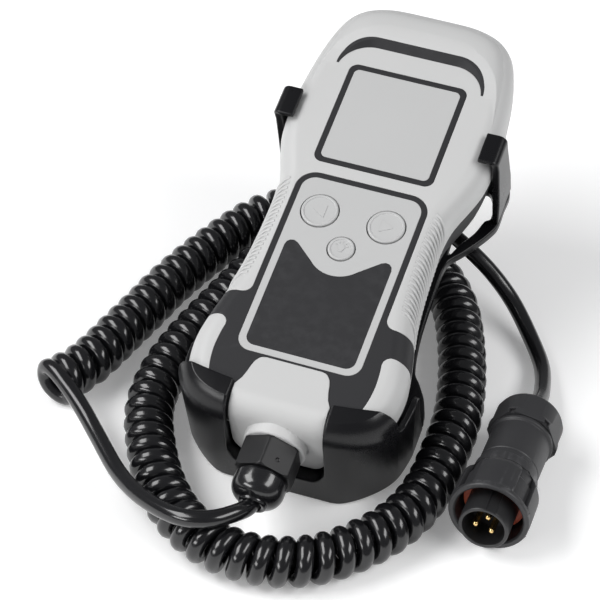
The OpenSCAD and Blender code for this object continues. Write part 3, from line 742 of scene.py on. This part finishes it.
def makeFrontCover():
    made = insetLoft("coverFront", bodyOutline, edgeSteps(0, 0, partZ))
    addOn(made, cutAway(hoodForm(), recessForm(hoodShape["seam"])))
    cavity = [(partZ - 1, wall), (edgeZ, wall), (faceZ - 5.4, 4.6), (faceZ - 3.6, 7.4),
              (faceZ - wall - 0.6, 9.6)]
    cutAway(made, insetLoft("cavity", bodyOutline, cavity))
    under = insetLoft("under", bodyOutline, gripShape["under"])
    cutAway(made, cutAway(overmouldForm(handset["seam"]), under))
    cutAway(made, prism("saddle", inset(saddleOutline, -0.1), partZ - 5, 80))
    line = displayOutline(display["lineOut"] + 0.1, display["lineCorner"] + 0.1)
    cutAway(made, prism("frameRecess", line, faceZ - display["deep"], faceZ + 8))
    cutAway(made, prism("window", displayOutline(-1.5, 2), faceZ - 8, faceZ + 8))
    cutAway(made, prism("panelRecess", keypadOutline(0.06), faceZ - keypad["sheet"], faceZ + 9))
    for key in keys.values():
        cutAway(made, prism("keyHole", disc(key["x"], key["y"], key["radius"] + 0.3), faceZ - 8, faceZ + 8))
    soften(made, 0.16)
    return seat(made, "coverFront", lightShell, "front_cover")


def makeGripSkin():
    made = insetLoft("gripSkin", bodyOutline, edgeSteps(0, 0, partZ))
    keepInside(made, overmouldForm())
    cutAway(made, insetLoft("under", bodyOutline, gripShape["under"]))
    soften(made, 0.16)
    return seat(made, "gripSkin", charcoalSkin, "grip_overmould")


def makeHoodInlay():
    made = keepInside(hoodForm(), recessForm(hoodShape["seam"]))
    cutAway(made, recessForm(0))
    cutAway(made, prism("floor", oblong(90, -90, 250), 0, faceZ + 0.05))
    return seat(made, "hoodInlay", charcoalSkin, "hood_inlay")


saddle = {
    "half": 18,
    "low": 12.5,
    "proud": 0.6,
    "inner": [(12, wall), (edgeZ, wall), (faceZ - 4, 4.6), (faceZ - 2, 8)],
    "collar": [(0, -2.4), (11.4, -2.4), (11.8, -2.0), (11.8, 3.4), (11.2, 4), (0, 4)],
    "bore": [(0, -14), (8.05, -14), (8.05, 10), (0, 10)],
}


def makeSaddle(sizes):
    proud = sizes["proud"]
    made = insetLoft("cableSaddle", bodyOutline, [(sizes["low"], -proud)] + edgeArc(proud, 0.5))
    cutAway(made, insetLoft("inner", bodyOutline, sizes["inner"]))
    keepInside(made, prism("plan", saddleOutline, 0, 60))
    way = slotForm(sizes["half"], sizes["low"])
    addOn(way, prism("upper", oblong(30, 10, 30), 40, 60))
    keepInside(made, way)
    addOn(made, alongY(turned("collar", sizes["collar"]), 0, glandZ))
    cutAway(made, alongY(turned("bore", sizes["bore"], 48), 0, glandZ))
    soften(made, 0.3)
    return seat(made, "cableSaddle", lightShell, "end_block")


def backSteps(depth, high):
    points = [[4.5 + depth, 11], [5.4 + depth, 8.6 + depth / 2], [8.1 + depth / 2, 6.2 + depth],
              [14, 3.6 + depth], [22, 1.5 + depth], [high, depth]]
    return openCurve(points, 3) + [points[-1]]


def makeRearCover():
    made = insetLoft("coverRear", bodyOutline, backSteps(0, partZ - 0.3))
    cutAway(made, insetLoft("hollow", bodyOutline, backSteps(wall, partZ + 1)))
    for x, y in boss["places"]:
        addOn(made, prism("boss", disc(x, y, boss["radius"], 40), boss["low"], partZ - 0.5))
    cutAway(made, keepInside(slotForm(saddle["half"] + 0.05, 12.4), prism("reach", oblong(30, -4, 8), 0, 60)))
    for x, y in boss["places"]:
        cutAway(made, prism("screwHole", disc(x, y, boss["hole"], 32), 0, partZ + 1))
        cutAway(made, prism("sink", disc(x, y, boss["sink"], 40), 0, boss["sinkTop"]))
    soften(made, 0.2)
    return seat(made, "coverRear", charcoalSkin, "rear_cover")


# fine ribs for the fingers down both sides of the waist
gripRibs = {
    "Pitch": 2.1,
    "Width": 1.2,
    "Lean": -8.4,
    "Top": 42.9,
    "Low": 31.4,
    "Sunk": -0.25,
    "Edge Foot": 34.5,
    "Edge Height": 9.0,
    "Edge Width": 7.5,
}
ribsFromTo = (55.9, 99.0)


def makeRibTree(sizes):
    # a rib swept down the rounded edge, set again and again along a path on the outline
    inputs = {"Path": "Geometry", **dict.fromkeys(sizes, "Float"), "Finish": "Material"}
    tree, given = newTree("ribsAlongEdge", "GeometryNodeTree", inputs, {"Ribs": "Geometry"})

    def add(kind, values=None, **settings):
        return addNode(tree, kind, settings, values)

    def number(operation, *values, clamp=False):
        return calc(tree, operation, *values, clamp=clamp)

    route = add("GeometryNodeMeshToCurve", {"Mesh": given["Path"]})
    spaced = add("GeometryNodeCurveToPoints", {
        "Curve": route.outputs[0], "Length": given["Pitch"]}, mode="LENGTH")
    facing = add("FunctionNodeAlignRotationToVector", {
        "Vector": spaced.outputs["Tangent"]}, axis="Y", pivot_axis="Z")
    line = add("GeometryNodeCurvePrimitiveLine")
    steps = add("GeometryNodeResampleCurve", {"Curve": line.outputs[0], "Count": 14})
    share = add("GeometryNodeSplineParameter").outputs["Factor"]
    drop = number("SUBTRACT", given["Low"], given["Top"])
    height = number("ADD", given["Top"], number("MULTIPLY", drop, share))
    raised = number("MAXIMUM", number("SUBTRACT", height, given["Edge Foot"]), 0.0)
    part = number("DIVIDE", raised, given["Edge Height"])
    level = number("SQRT", number("SUBTRACT", 1.0, number("MULTIPLY", part, part)))
    inwards = number("MULTIPLY", number("SUBTRACT", level, 1.0), given["Edge Width"])
    faded = number("SUBTRACT", 1.0, number("MULTIPLY", share, 14.0, clamp=True))
    dive = number("MULTIPLY", number("MULTIPLY", faded, faded), given["Width"])
    outAt = number("SUBTRACT", inwards, number("ADD", given["Sunk"], number("MULTIPLY", dive, 0.5)))
    place = add("ShaderNodeCombineXYZ", {0: outAt, 1: number("MULTIPLY", given["Lean"], share), 2: height})
    shaped = add("GeometryNodeSetPosition", {"Geometry": steps.outputs[0], "Position": place.outputs[0]})
    half = number("MULTIPLY", given["Width"], 0.5)
    section = add("GeometryNodeCurvePrimitiveCircle", {"Resolution": 10, "Radius": half})
    swept = add("GeometryNodeCurveToMesh", {
        "Curve": shaped.outputs[0], "Profile Curve": section.outputs[0], "Fill Caps": True})
    copies = add("GeometryNodeInstanceOnPoints", {
        "Points": spaced.outputs["Points"], "Instance": swept.outputs[0], "Rotation": facing.outputs[0]})
    real = add("GeometryNodeRealizeInstances", {0: copies.outputs[0]})
    dressed = add("GeometryNodeSetMaterial", {"Geometry": real.outputs[0], "Material": given["Finish"]})
    add("NodeGroupOutput", {"Ribs": dressed.outputs[0]})
    return tree


def grow(made, tree, values):
    # a node tree on a piece, its inputs set by their identifiers, then made plain
    modifier = made.modifiers.new("grown", "NODES")
    modifier.node_group = tree
    for socket in tree.interface.items_tree:
        if socket.in_out == "INPUT" and socket.name in values:
            modifier[socket.identifier] = values[socket.name]
    settle(made)
    return outwards(made)


def makeGripRibs(side, name, tree):
    edge = [p for p in ringCurve(bodyOutline, 4) if p[0] > 20 and ribsFromTo[0] <= p[1] <= ribsFromTo[1]]
    edge = edge if side > 0 else flipped(edge)
    made = meshOf(name, [(x, y, 0) for x, y in edge], [], [(i, i + 1) for i in range(len(edge) - 1)])
    grow(made, tree, dict(gripRibs, Lean=gripRibs["Lean"] * side, Finish=lightShell))
    return fit(made, name, seatFrame, lightShell, "handset", (), 60)


makeFrontCover()
makeGripSkin()
makeHoodInlay()
makeSaddle(saddle)
makeRearCover()
ribTree = makeRibTree(gripRibs)
makeGripRibs(1, "gripRibsRight", ribTree)
makeGripRibs(-1, "gripRibsLeft", ribTree)
print("covers shaped")

# display and keypad


def flatPanel(name, outline, high, finish, node, holes=()):
    made = prism(name, outline, faceZ - display["deep"], high)
    cutAway(made, list(holes))
    soften(made, 0.12)
    return seat(made, name, finish, node)


glass = displayOutline(0, display["corner"])
line = displayOutline(display["lineOut"], display["lineCorner"])
lineHole = prism("hole", displayOutline(0.02, display["corner"]), 0, 80)
flatPanel("displayFrame", line, faceZ + 0.1, charcoalSkin, "display_frame", [lineHole])
flatPanel("displayCover", glass, faceZ, panelFilm, "display_cover")

field = {
    "half": 20.8,
    "low": 26.1,
    "corner": 3.6,
    "upper": [[20.8, 40], [20.8, 70.2], [20.4, 71.8], [19.2, 72.9], [17.8, 73.1], [16.2, 72.4], [8.8, 66]],
    "scoop": 12.03,
    "deep": 0.3,
}


def fieldOutline(sizes):
    radius = sizes["corner"]
    scoopY = keys["keyLight"]["y"]
    right = arc(sizes["half"] - radius, sizes["low"] + radius, radius, radius, -90, 0, 6) + sizes["upper"]
    start = math.degrees(math.atan2(sizes["upper"][-1][1] - scoopY, sizes["upper"][-1][0]))
    right += arc(0, scoopY, sizes["scoop"], sizes["scoop"], start, -90, 6)
    return right + flipped(right)[1:]


def makeKeypad():
    edge = keypadOutline(0)
    rings = [(faceZ - keypad["sheet"], edge), (faceZ - 0.1, edge), (faceZ, inset(edge, 0.1))]
    sheet = loft("keypadOverlay", rings)
    for key in keys.values():
        wide = key["radius"] + 0.42
        profile = [(0, 0), (wide, 0), (wide, faceZ - 0.16), (wide + 0.4, faceZ + 0.24), (0, faceZ + 0.24)]
        cutAway(sheet, turned("hole", profile, 96, (key["x"], key["y"])))
    outline = fieldOutline(field)
    low = faceZ - field["deep"]
    cutAway(sheet, prism("field", outline, low, 80))
    seat(sheet, "keypadOverlay", panelFilm, "keypad_overlay")
    patch = prism("keypadField", inset(outline, 0.04), low, faceZ - 0.02)
    seat(patch, "keypadField", charcoalSkin, "keypad_field")


def arrowMark(way):
    return [anticlockwise([[-2.2 * way, -2.8], [2.6 * way, 0], [-2.2 * way, 2.8]])]


def lampMark():
    # a bulb on its foot with five rays
    marks = [disc(0, 0.5, 1.3, 24), [[-0.7, -1.4], [0.7, -1.4], [0.7, -0.5], [-0.7, -0.5]]]
    for a in (20, 55, 90, 125, 160):
        t = math.radians(a)
        out = (math.cos(t), math.sin(t))
        ray = [(1.9, -0.15), (1.9, 0.15), (2.7, 0.15), (2.7, -0.15)]
        marks.append(anticlockwise([[far * out[0] + off * out[1], 0.5 + far * out[1] - off * out[0]]
                                    for far, off in ray]))
    return marks


def makeKey(name, key, marks):
    top = faceZ + 0.3
    radius = key["radius"]
    stem = [(0, -5.2), (2, -5.2), (2, -2.6), (radius, -2.6)]
    rim = [(0.0, -0.12), (0.0, -0.1), (0.14, 0.1), (0.28, 0.24), (0.45, 0.3), (0.85, 0.3), (1.0, 0.26),
           (1.14, 0.12), (1.2, 0.0)]
    profile = [(x, faceZ + z) for x, z in stem] + [(radius - x, top + z) for x, z in rim]
    profile += [(radius * 0.5, top - 0.04), (0, top - 0.06)]
    made = turned(name, profile, 96, (key["x"], key["y"]))
    for shape in marks:
        addOn(made, prism("mark", [[key["x"] + x, key["y"] + y] for x, y in shape], top - 0.3, top + 0.14))
    return fit(made, name, seatFrame, panelFilm, key["body"], [key["node"]], 40)


makeKeypad()
makeKey("keyUp", keys["keyUp"], arrowMark(-1))
makeKey("keyDown", keys["keyDown"], arrowMark(1))
makeKey("keyLight", keys["keyLight"], lampMark())
print("display and keypad set in")

# cradle

cup = {
    "out": 3.5,
    "in": 0.5,
    "armY": 62,
    "foot": [[0, -6], [16, -5.9], [25, -4.8], [35, 2.6], [41, 11], [gw + 3, 22]],
    "slope": [(-10, -1), (-10, 60), (13.5, 60), (13.5, 33), (13.9, 31.4), (15, 30.2), (16.4, 29.3),
              (18, 28.8), (22, 28.5), (28, 28), (29.6, 27.4), (31.2, 26.2), (33, 24), (34, 4), (34, -1)],
    "level": faceZ + 1.8,
    "trim": [[0, 9.4], [17, 9.9], [26, 11], [36, 12.6], [44, 13.8], [60, 14.2], [60, 30]],
    "seatFloor": [(4, 9), (5.4, 5), (9, 1.4), (15, -0.5)],
    "slot": (18.6, 11.5),
    "arris": 0.7,
}


def openCup(half):
    return mirrored(openCurve(half, 2) + [half[-1], [half[-1][0], cup["armY"]]])


def cupRing(outline, depth):
    # finer points on the curved part only
    points = inset(outline, depth)
    right = [p for p in points[:len(points) // 2 + 1] if p[0] > -0.01]
    return mirrored(openCurve(right[:-1], 4) + right[-2:])


def makeCup():
    outer = openCup(endHalf)
    shell = [(z, cupRing(outer, depth)) for z, depth in edgeArc(cup["out"], 3.2)]
    made = loft("cradleCup", [(0, cupRing(openCup(cup["foot"]), 0))] + shell)
    keepInside(made, sideCut("slope", cup["slope"]))
    keepInside(made, prism("level", oblong(60, -30, 60), -2, cup["level"]))
    cutAway(made, prism("trim", cup["trim"] + flipped(cup["trim"])[:-1], partZ + 1, 60))
    inner = cup["seatFloor"] + edgeArc(cup["in"], 0.4)
    cutAway(made, loft("seat", [(z, cupRing(outer, depth)) for z, depth in inner]))
    cutAway(made, slotForm(*cup["slot"]))
    soften(made, cup["arris"], 3)
    return fit(made, "cradleCup", seatFrame, cradleBlack, "cradle", ["cradle_cup"])


plate = {
    "thick": 4,
    "low": 40,
    "high": 160,
    "endHalf": 30,
    "edge": [[gw + 2.4, 44], [40.4, 50], [37, 55.5], [33.5, 61], [31, 76], [30.2, 95], [30.1, 105],
             [31.2, 110.8], [35, 115.7], [39.1, 121.6], [42.3, 127], [hw + 3, 132], [hw + 3, 140],
             [hw + 3, 148], [40, 157], [30, 160]],
    "window": [[29.8, 113.5], [32.8, 119.4], [hw - 4.6, 126], [hw - 2.6, 132.2], [hw - 0.6, 134.2],
               [hw - 1.8, 141], [hw - 5.2, 146], [31, 142], [29, 128]],
    "screwsY": (70, 135),
    "screwHole": 2.25,
    "screwSink": 4.5,
    "arris": 0.7,
}


def makePlate():
    low = plate["low"]
    high = plate["high"]
    thick = plate["thick"]
    half = [[0, low], [gw + 3, low]] + openCurve(plate["edge"], 6) + [[plate["endHalf"], high], [0, high]]
    made = prism("cradlePlate", mirrored(half), 0, thick)
    for outline in (plate["window"], flipped(plate["window"])):
        cutAway(made, prism("window", ringCurve(outline, 3), -1, thick + 2))
    for y in plate["screwsY"]:
        cutAway(made, prism("hole", disc(0, y, plate["screwHole"], 40), -1, thick + 2))
        cutAway(made, prism("sink", disc(0, y, plate["screwSink"], 48), 2.2, thick + 2))
    soften(made, plate["arris"], 3)
    return fit(made, "cradlePlate", standFrame, cradleBlack, "cradle", ["cradle_plate"])


armIn = hw + 0.5
arm = {
    "thick": 3,
    "highY": 144,
    "hookY": 131,
    "arris": 0.6,
    # outer x and z, inner x and z, low and high y
    "foot": [(hw + 3, 4, armIn, 4, 132, 150), (hw + 3.25, 10, armIn, 10, 132.2, 149),
             (armIn + 3, 16, armIn, 16, 132.4, 148.1), (armIn + 3, 24, armIn, 24, 132.6, 146.8),
             (armIn + 3, 38.5, armIn, 38.5, 132.6, 144.5)],
    "hook": [(hw - 2, faceZ + 2.6, hw - 2, faceZ + 0.4), (hw - 4.6, faceZ + 2.6, hw - 4.6, faceZ + 0.4)],
}


def makeArm(side, name, node):
    # a band drawn up from the plate and over the shoulder
    stations = list(arm["foot"])
    outer = arc(armIn, faceZ - 0.4, arm["thick"], arm["thick"], 0, 90, 6)
    inner = arc(armIn - 0.4, faceZ, 0.4, 0.4, 0, 90, 6)
    lows = [y for _, y in arc(0, arm["hookY"] + 0.7, 0.7, -0.7, 0, 90, 6)]
    stations += [(*far, *near, low, arm["highY"]) for far, near, low in zip(outer, inner, lows)]
    stations += [(*station, arm["hookY"], arm["highY"]) for station in arm["hook"]]
    rings = [[(ox * side, low, oz), (ox * side, high, oz), (ix * side, high, iz), (ix * side, low, iz)]
             for ox, oz, ix, iz, low, high in stations]
    made = outwards(skin("arm", rings))
    soften(made, arm["arris"], 3)
    return fit(made, name, standFrame, cradleBlack, "cradle", [node])


makeCup()
makePlate()
makeArm(1, "cradleArmRight", "cradle_arm_right")
makeArm(-1, "cradleArmLeft", "cradle_arm_left")
print("cradle moulded")

# gland, its profiles as (radius, height)

gland = {
    "flats": 20,
    "long": 12,
    "bodyY": -4,
    "domeY": -16,
    "crown": [(0, -0.5), (10.3, -0.5), (11.6, 0.9), (11.6, 11.1), (10.3, 12.5), (0, 12.5)],
    "threadTurns": 8,
    "threadPitch": 1.5,
    "bore": [(0, -20), (3.4, -20), (3.4, 5), (5.5, 6), (5.5, 30), (0, 30)],
    "dimple": [(0, 9.5), (0.5, 9.5), (0.7, 9.8), (1.0, 10.1), (0, 10.1)],
    "dimpleZ": 7.6,
    "dimpleTurn": 60,
    "domeFoot": [(3.25, 9.5), (3.25, 3.2), (5.5, 3.2), (5.5, 0), (8.8, 0), (9.6, 0.5), (9.8, 1.6),
                 (9.8, 4.4)],
    "domeLip": [(5.3, 10.3), (5.4, 10.9), (5.1, 11.4), (4.5, 11.6), (3.7, 11.4), (3.3, 10.9)],
}


def makeGland(sizes):
    hexagon = disc(0, 0, sizes["flats"] / 2 / math.cos(math.radians(30)), 6, 30)
    made = prism("glandBody", hexagon, 0, sizes["long"])
    keepInside(made, turned("crown", sizes["crown"], 96))
    thread = [(0, -14)]
    for k in range(sizes["threadTurns"]):
        z = sizes["threadPitch"] * k
        thread += [(7.5, z - 13.6), (8, z - 13.1), (8, z - 12.7), (7.5, z - 12.3)]
    addOn(made, turned("thread", thread + [(7.5, 1), (0, 1)]))
    cutAway(made, turned("bore", sizes["bore"]))
    soften(made, 0.4)
    dimple = turned("dimple", sizes["dimple"], 32)
    turn = Matrix.Rotation(math.radians(sizes["dimpleTurn"]), 4, "Z")
    lay = Matrix.Rotation(math.radians(90), 4, "Y")
    dimple.data.transform(Matrix.Translation((0, 0, sizes["dimpleZ"])) @ turn @ lay)
    cutAway(made, dimple)
    alongY(made, sizes["bodyY"], glandZ)
    seat(made, "glandBody", glandGrey, "gland_body")
    profile = sizes["domeFoot"] + arc(4.4, 4.4, 5.4, 6, 8, 72, 8) + sizes["domeLip"]
    dome = alongY(turned("dome", profile, 96), sizes["domeY"], glandZ)
    seat(dome, "glandDome", glossBlack, "gland_dome_nut", 50)


makeGland(gland)
print("gland turned")

# plug, its profiles as (radius, height) from the cord's end forwards

plug = {
    "nutTurn": 52,
    "nutCorner": 14.2,
    "nutForm": [(0, 0), (10.4, 0), (12.0, 1.4), (12.9, 3), (12.9, 10.6), (13.3, 11.4), (13.4, 12),
                (13.4, 14), (0, 14)],
    "nutBore": [(0, -1), (3.35, -1), (3.35, 2.4), (9, 2.4), (9, 30), (0, 30)],
    "nutSlot": (10, 12.5, 16, 2),
    "nutSlotZ": (12.2, 15),
    "barrel": [(7.5, 7), (8.95, 7), (8.95, 14.2), (11.9, 14.2), (12.1, 14.4), (12.1, 15.6), (11.9, 15.8),
               (11.3, 16.2), (11.3, 31.8), (11.08, 32), (11.08, 32.6), (11.3, 32.8), (11.3, 44), (9.25, 44),
               (9.25, 30), (7.5, 30)],
    "sleeve": [(11.38, 35), (11.7, 35), (12.0, 35.4), (12.1, 44), (12.95, 45.2), (13.0, 54.4), (14.2, 55.4),
               (14.9, 56.0), (15, 57.4), (14.7, 58), (13.2, 58), (12.5, 57.2), (12.5, 44.6), (11.38, 44.6)],
    "notch": (246, 16, 11, 18, 4),
    "notchZ": (56, 60),
    "padTurn": 90,
    "padSpread": 60,
    "padRing": (11.9, 16, 14),
    "padZ": (39.6, 56.6),
    "padForm": [(0, 39), (12.2, 39.5), (13.9, 41.8), (14.8, 44), (15.1, 55), (14.8, 57), (0, 57)],
    "padInside": [(0, 30), (12.15, 30), (12.15, 43.9), (12.7, 44.7), (12.7, 80), (0, 80)],
    "face": [(0, 31), (9.2, 31), (9.2, 44.2), (11, 44.4), (11, 47.2), (9.2, 47.2), (9.2, 64.3), (8.9, 64.6),
             (8.0, 64.6), (7.8, 64.4), (7.8, 54), (0, 54)],
    "keyway": (66, 24, 8.9, 10, 4),
    "keywayZ": (48, 66),
    "pinTurn": 77,
    "pinCircle": 3.6,
    "pinHalf": 1.15,
}


def plugPart(made, name, finish, body, node, arris, angle=32):
    if arris:
        soften(made, arris)
    return fit(made, name, plugFrame, finish, body, [node], angle)


def makePlugNut(sizes):
    start = sizes["nutTurn"]
    nut = prism("nut", disc(0, 0, sizes["nutCorner"], 6, start), 0, 14)
    keepInside(nut, turned("form", sizes["nutForm"], 96))
    cutAway(nut, turned("bore", sizes["nutBore"]))
    soften(nut, 0.3)
    for k in range(6):
        cutAway(nut, prism("slot", ringSector(start + 60 * k - 5, *sizes["nutSlot"]), *sizes["nutSlotZ"]))
    return plugPart(nut, "plugNut", plugGrey, "cradle", "plug_back_nut", 0)


def makePlugSleeve(sizes):
    sleeve = turned("sleeve", sizes["sleeve"], 128)
    spread = sizes["padSpread"]
    for k in range(4):
        start = sizes["padTurn"] + 90 * k - spread / 2
        pad = prism("pad", ringSector(start, spread, *sizes["padRing"]), *sizes["padZ"])
        keepInside(pad, turned("limit", sizes["padForm"], 128))
        cutAway(pad, turned("inside", sizes["padInside"], 128))
        soften(pad, 0.5)
        addOn(sleeve, pad)
    cutAway(sleeve, prism("notch", ringSector(*sizes["notch"]), *sizes["notchZ"]))
    return plugPart(sleeve, "plugSleeve", plugGrey, "sleeve", "plug_sleeve", 0.22)


def makePlugFace(sizes):
    face = turned("insert", sizes["face"], 96)
    half = sizes["pinHalf"]
    well = [(0, 53.4), (half + 0.5, 53.4), (half + 0.9, 55), (0, 55)]
    pin = [(0, 50), (half, 50), (half, 61.7), (half * 0.86, 62.3), (half * 0.5, 62.7), (0, 62.8)]
    spots = disc(0, 0, sizes["pinCircle"], 3, sizes["pinTurn"])
    cutAway(face, [turned("well", well, 32, spot) for spot in spots])
    cutAway(face, prism("key", ringSector(*sizes["keyway"]), *sizes["keywayZ"]))
    pins = [turned("pin", pin, 32, spot) for spot in spots]
    addOn(pins[0], pins[1:])
    return [plugPart(face, "plugFace", partBlack, "cradle", "plug_insert", 0.12),
            plugPart(pins[0], "plugPins", contactGold, "cradle", "plug_pins", 0, 40)]


def makePlugBarrel(sizes):
    barrel = turned("barrel", sizes["barrel"], 96)
    return plugPart(barrel, "plugBarrel", plugGrey, "cradle", "plug_body", 0.15)


plugPieces = [makePlugNut(plug), makePlugBarrel(plug), makePlugSleeve(plug)] + makePlugFace(plug)
print("plug made")

# what keeps its solid and only gets a finish

finishes = {
    "cover_gasket": sealRubber, "cover_screws": screwSteel, "display_module": displayGrey,
    "key_switches": partBlack, "circuit_board": boardGreen, "board_screws": screwSteel,
    "terminal_block": boardGreen, "cable_cores": coreSheath, "cable_jacket": cordJacket,
    "gland_locknut": partBlack, "gland_seal": sealRubber, "plug_grommet": sealRubber,
    "plug_seal": sealRed, "plug_cores": coreSheath,
}
for name, finish in finishes.items():
    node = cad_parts[name]
    node.data.materials.clear()
    node.data.materials.append(finish)
plugPieces += [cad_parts[name] for name in ("plug_grommet", "plug_seal", "plug_cores")]
print("inner parts finished")

# floor and light

floorHalf = 3.0
lampAim = Vector((0, 0, 0.03))
lamps = {
    "keyLight": {"place": (-0.95, -0.35, 1.15), "size": (1.3, 0.7), "power": 19},
    "sideLight": {"place": (1.05, -0.1, 1.05), "size": (1.2, 0.5), "power": 12},
    "frontLight": {"place": (-0.85, -1.25, 0.55), "size": (0.9, 0.3), "power": 7},
}


def makeFloor(half):
    made = meshOf("floor", [(x, y, 0) for x, y in oblong(half, -half, half)], [(0, 1, 2, 3)])
    made.data.materials.append(floorPaint)


def softBox(name, setup):
    data = bpy.data.lights.new(name, "AREA")
    data.shape = "RECTANGLE"
    data.size = setup["size"][0]
    data.size_y = setup["size"][1]
    data.energy = setup["power"]
    lamp = bpy.data.objects.new(name, data)
    bpy.context.scene.collection.objects.link(lamp)
    lamp.location = setup["place"]
    lamp.rotation_euler = (lampAim - Vector(setup["place"])).to_track_quat("-Z", "Y").to_euler()


def makeWorld(tone, strength):
    world = bpy.data.worlds.new("studio")
    world.use_nodes = True
    shader = world.node_tree.nodes["Background"]
    shader.inputs["Color"].default_value = (*tone, 1)
    shader.inputs["Strength"].default_value = strength
    bpy.context.scene.world = world


makeFloor(floorHalf)
makeWorld((0.96, 0.97, 1.0), 0.2)
for name, setup in lamps.items():
    softBox(name, setup)
bpy.context.scene.view_settings.view_transform = "Standard"
print("floor and light set")
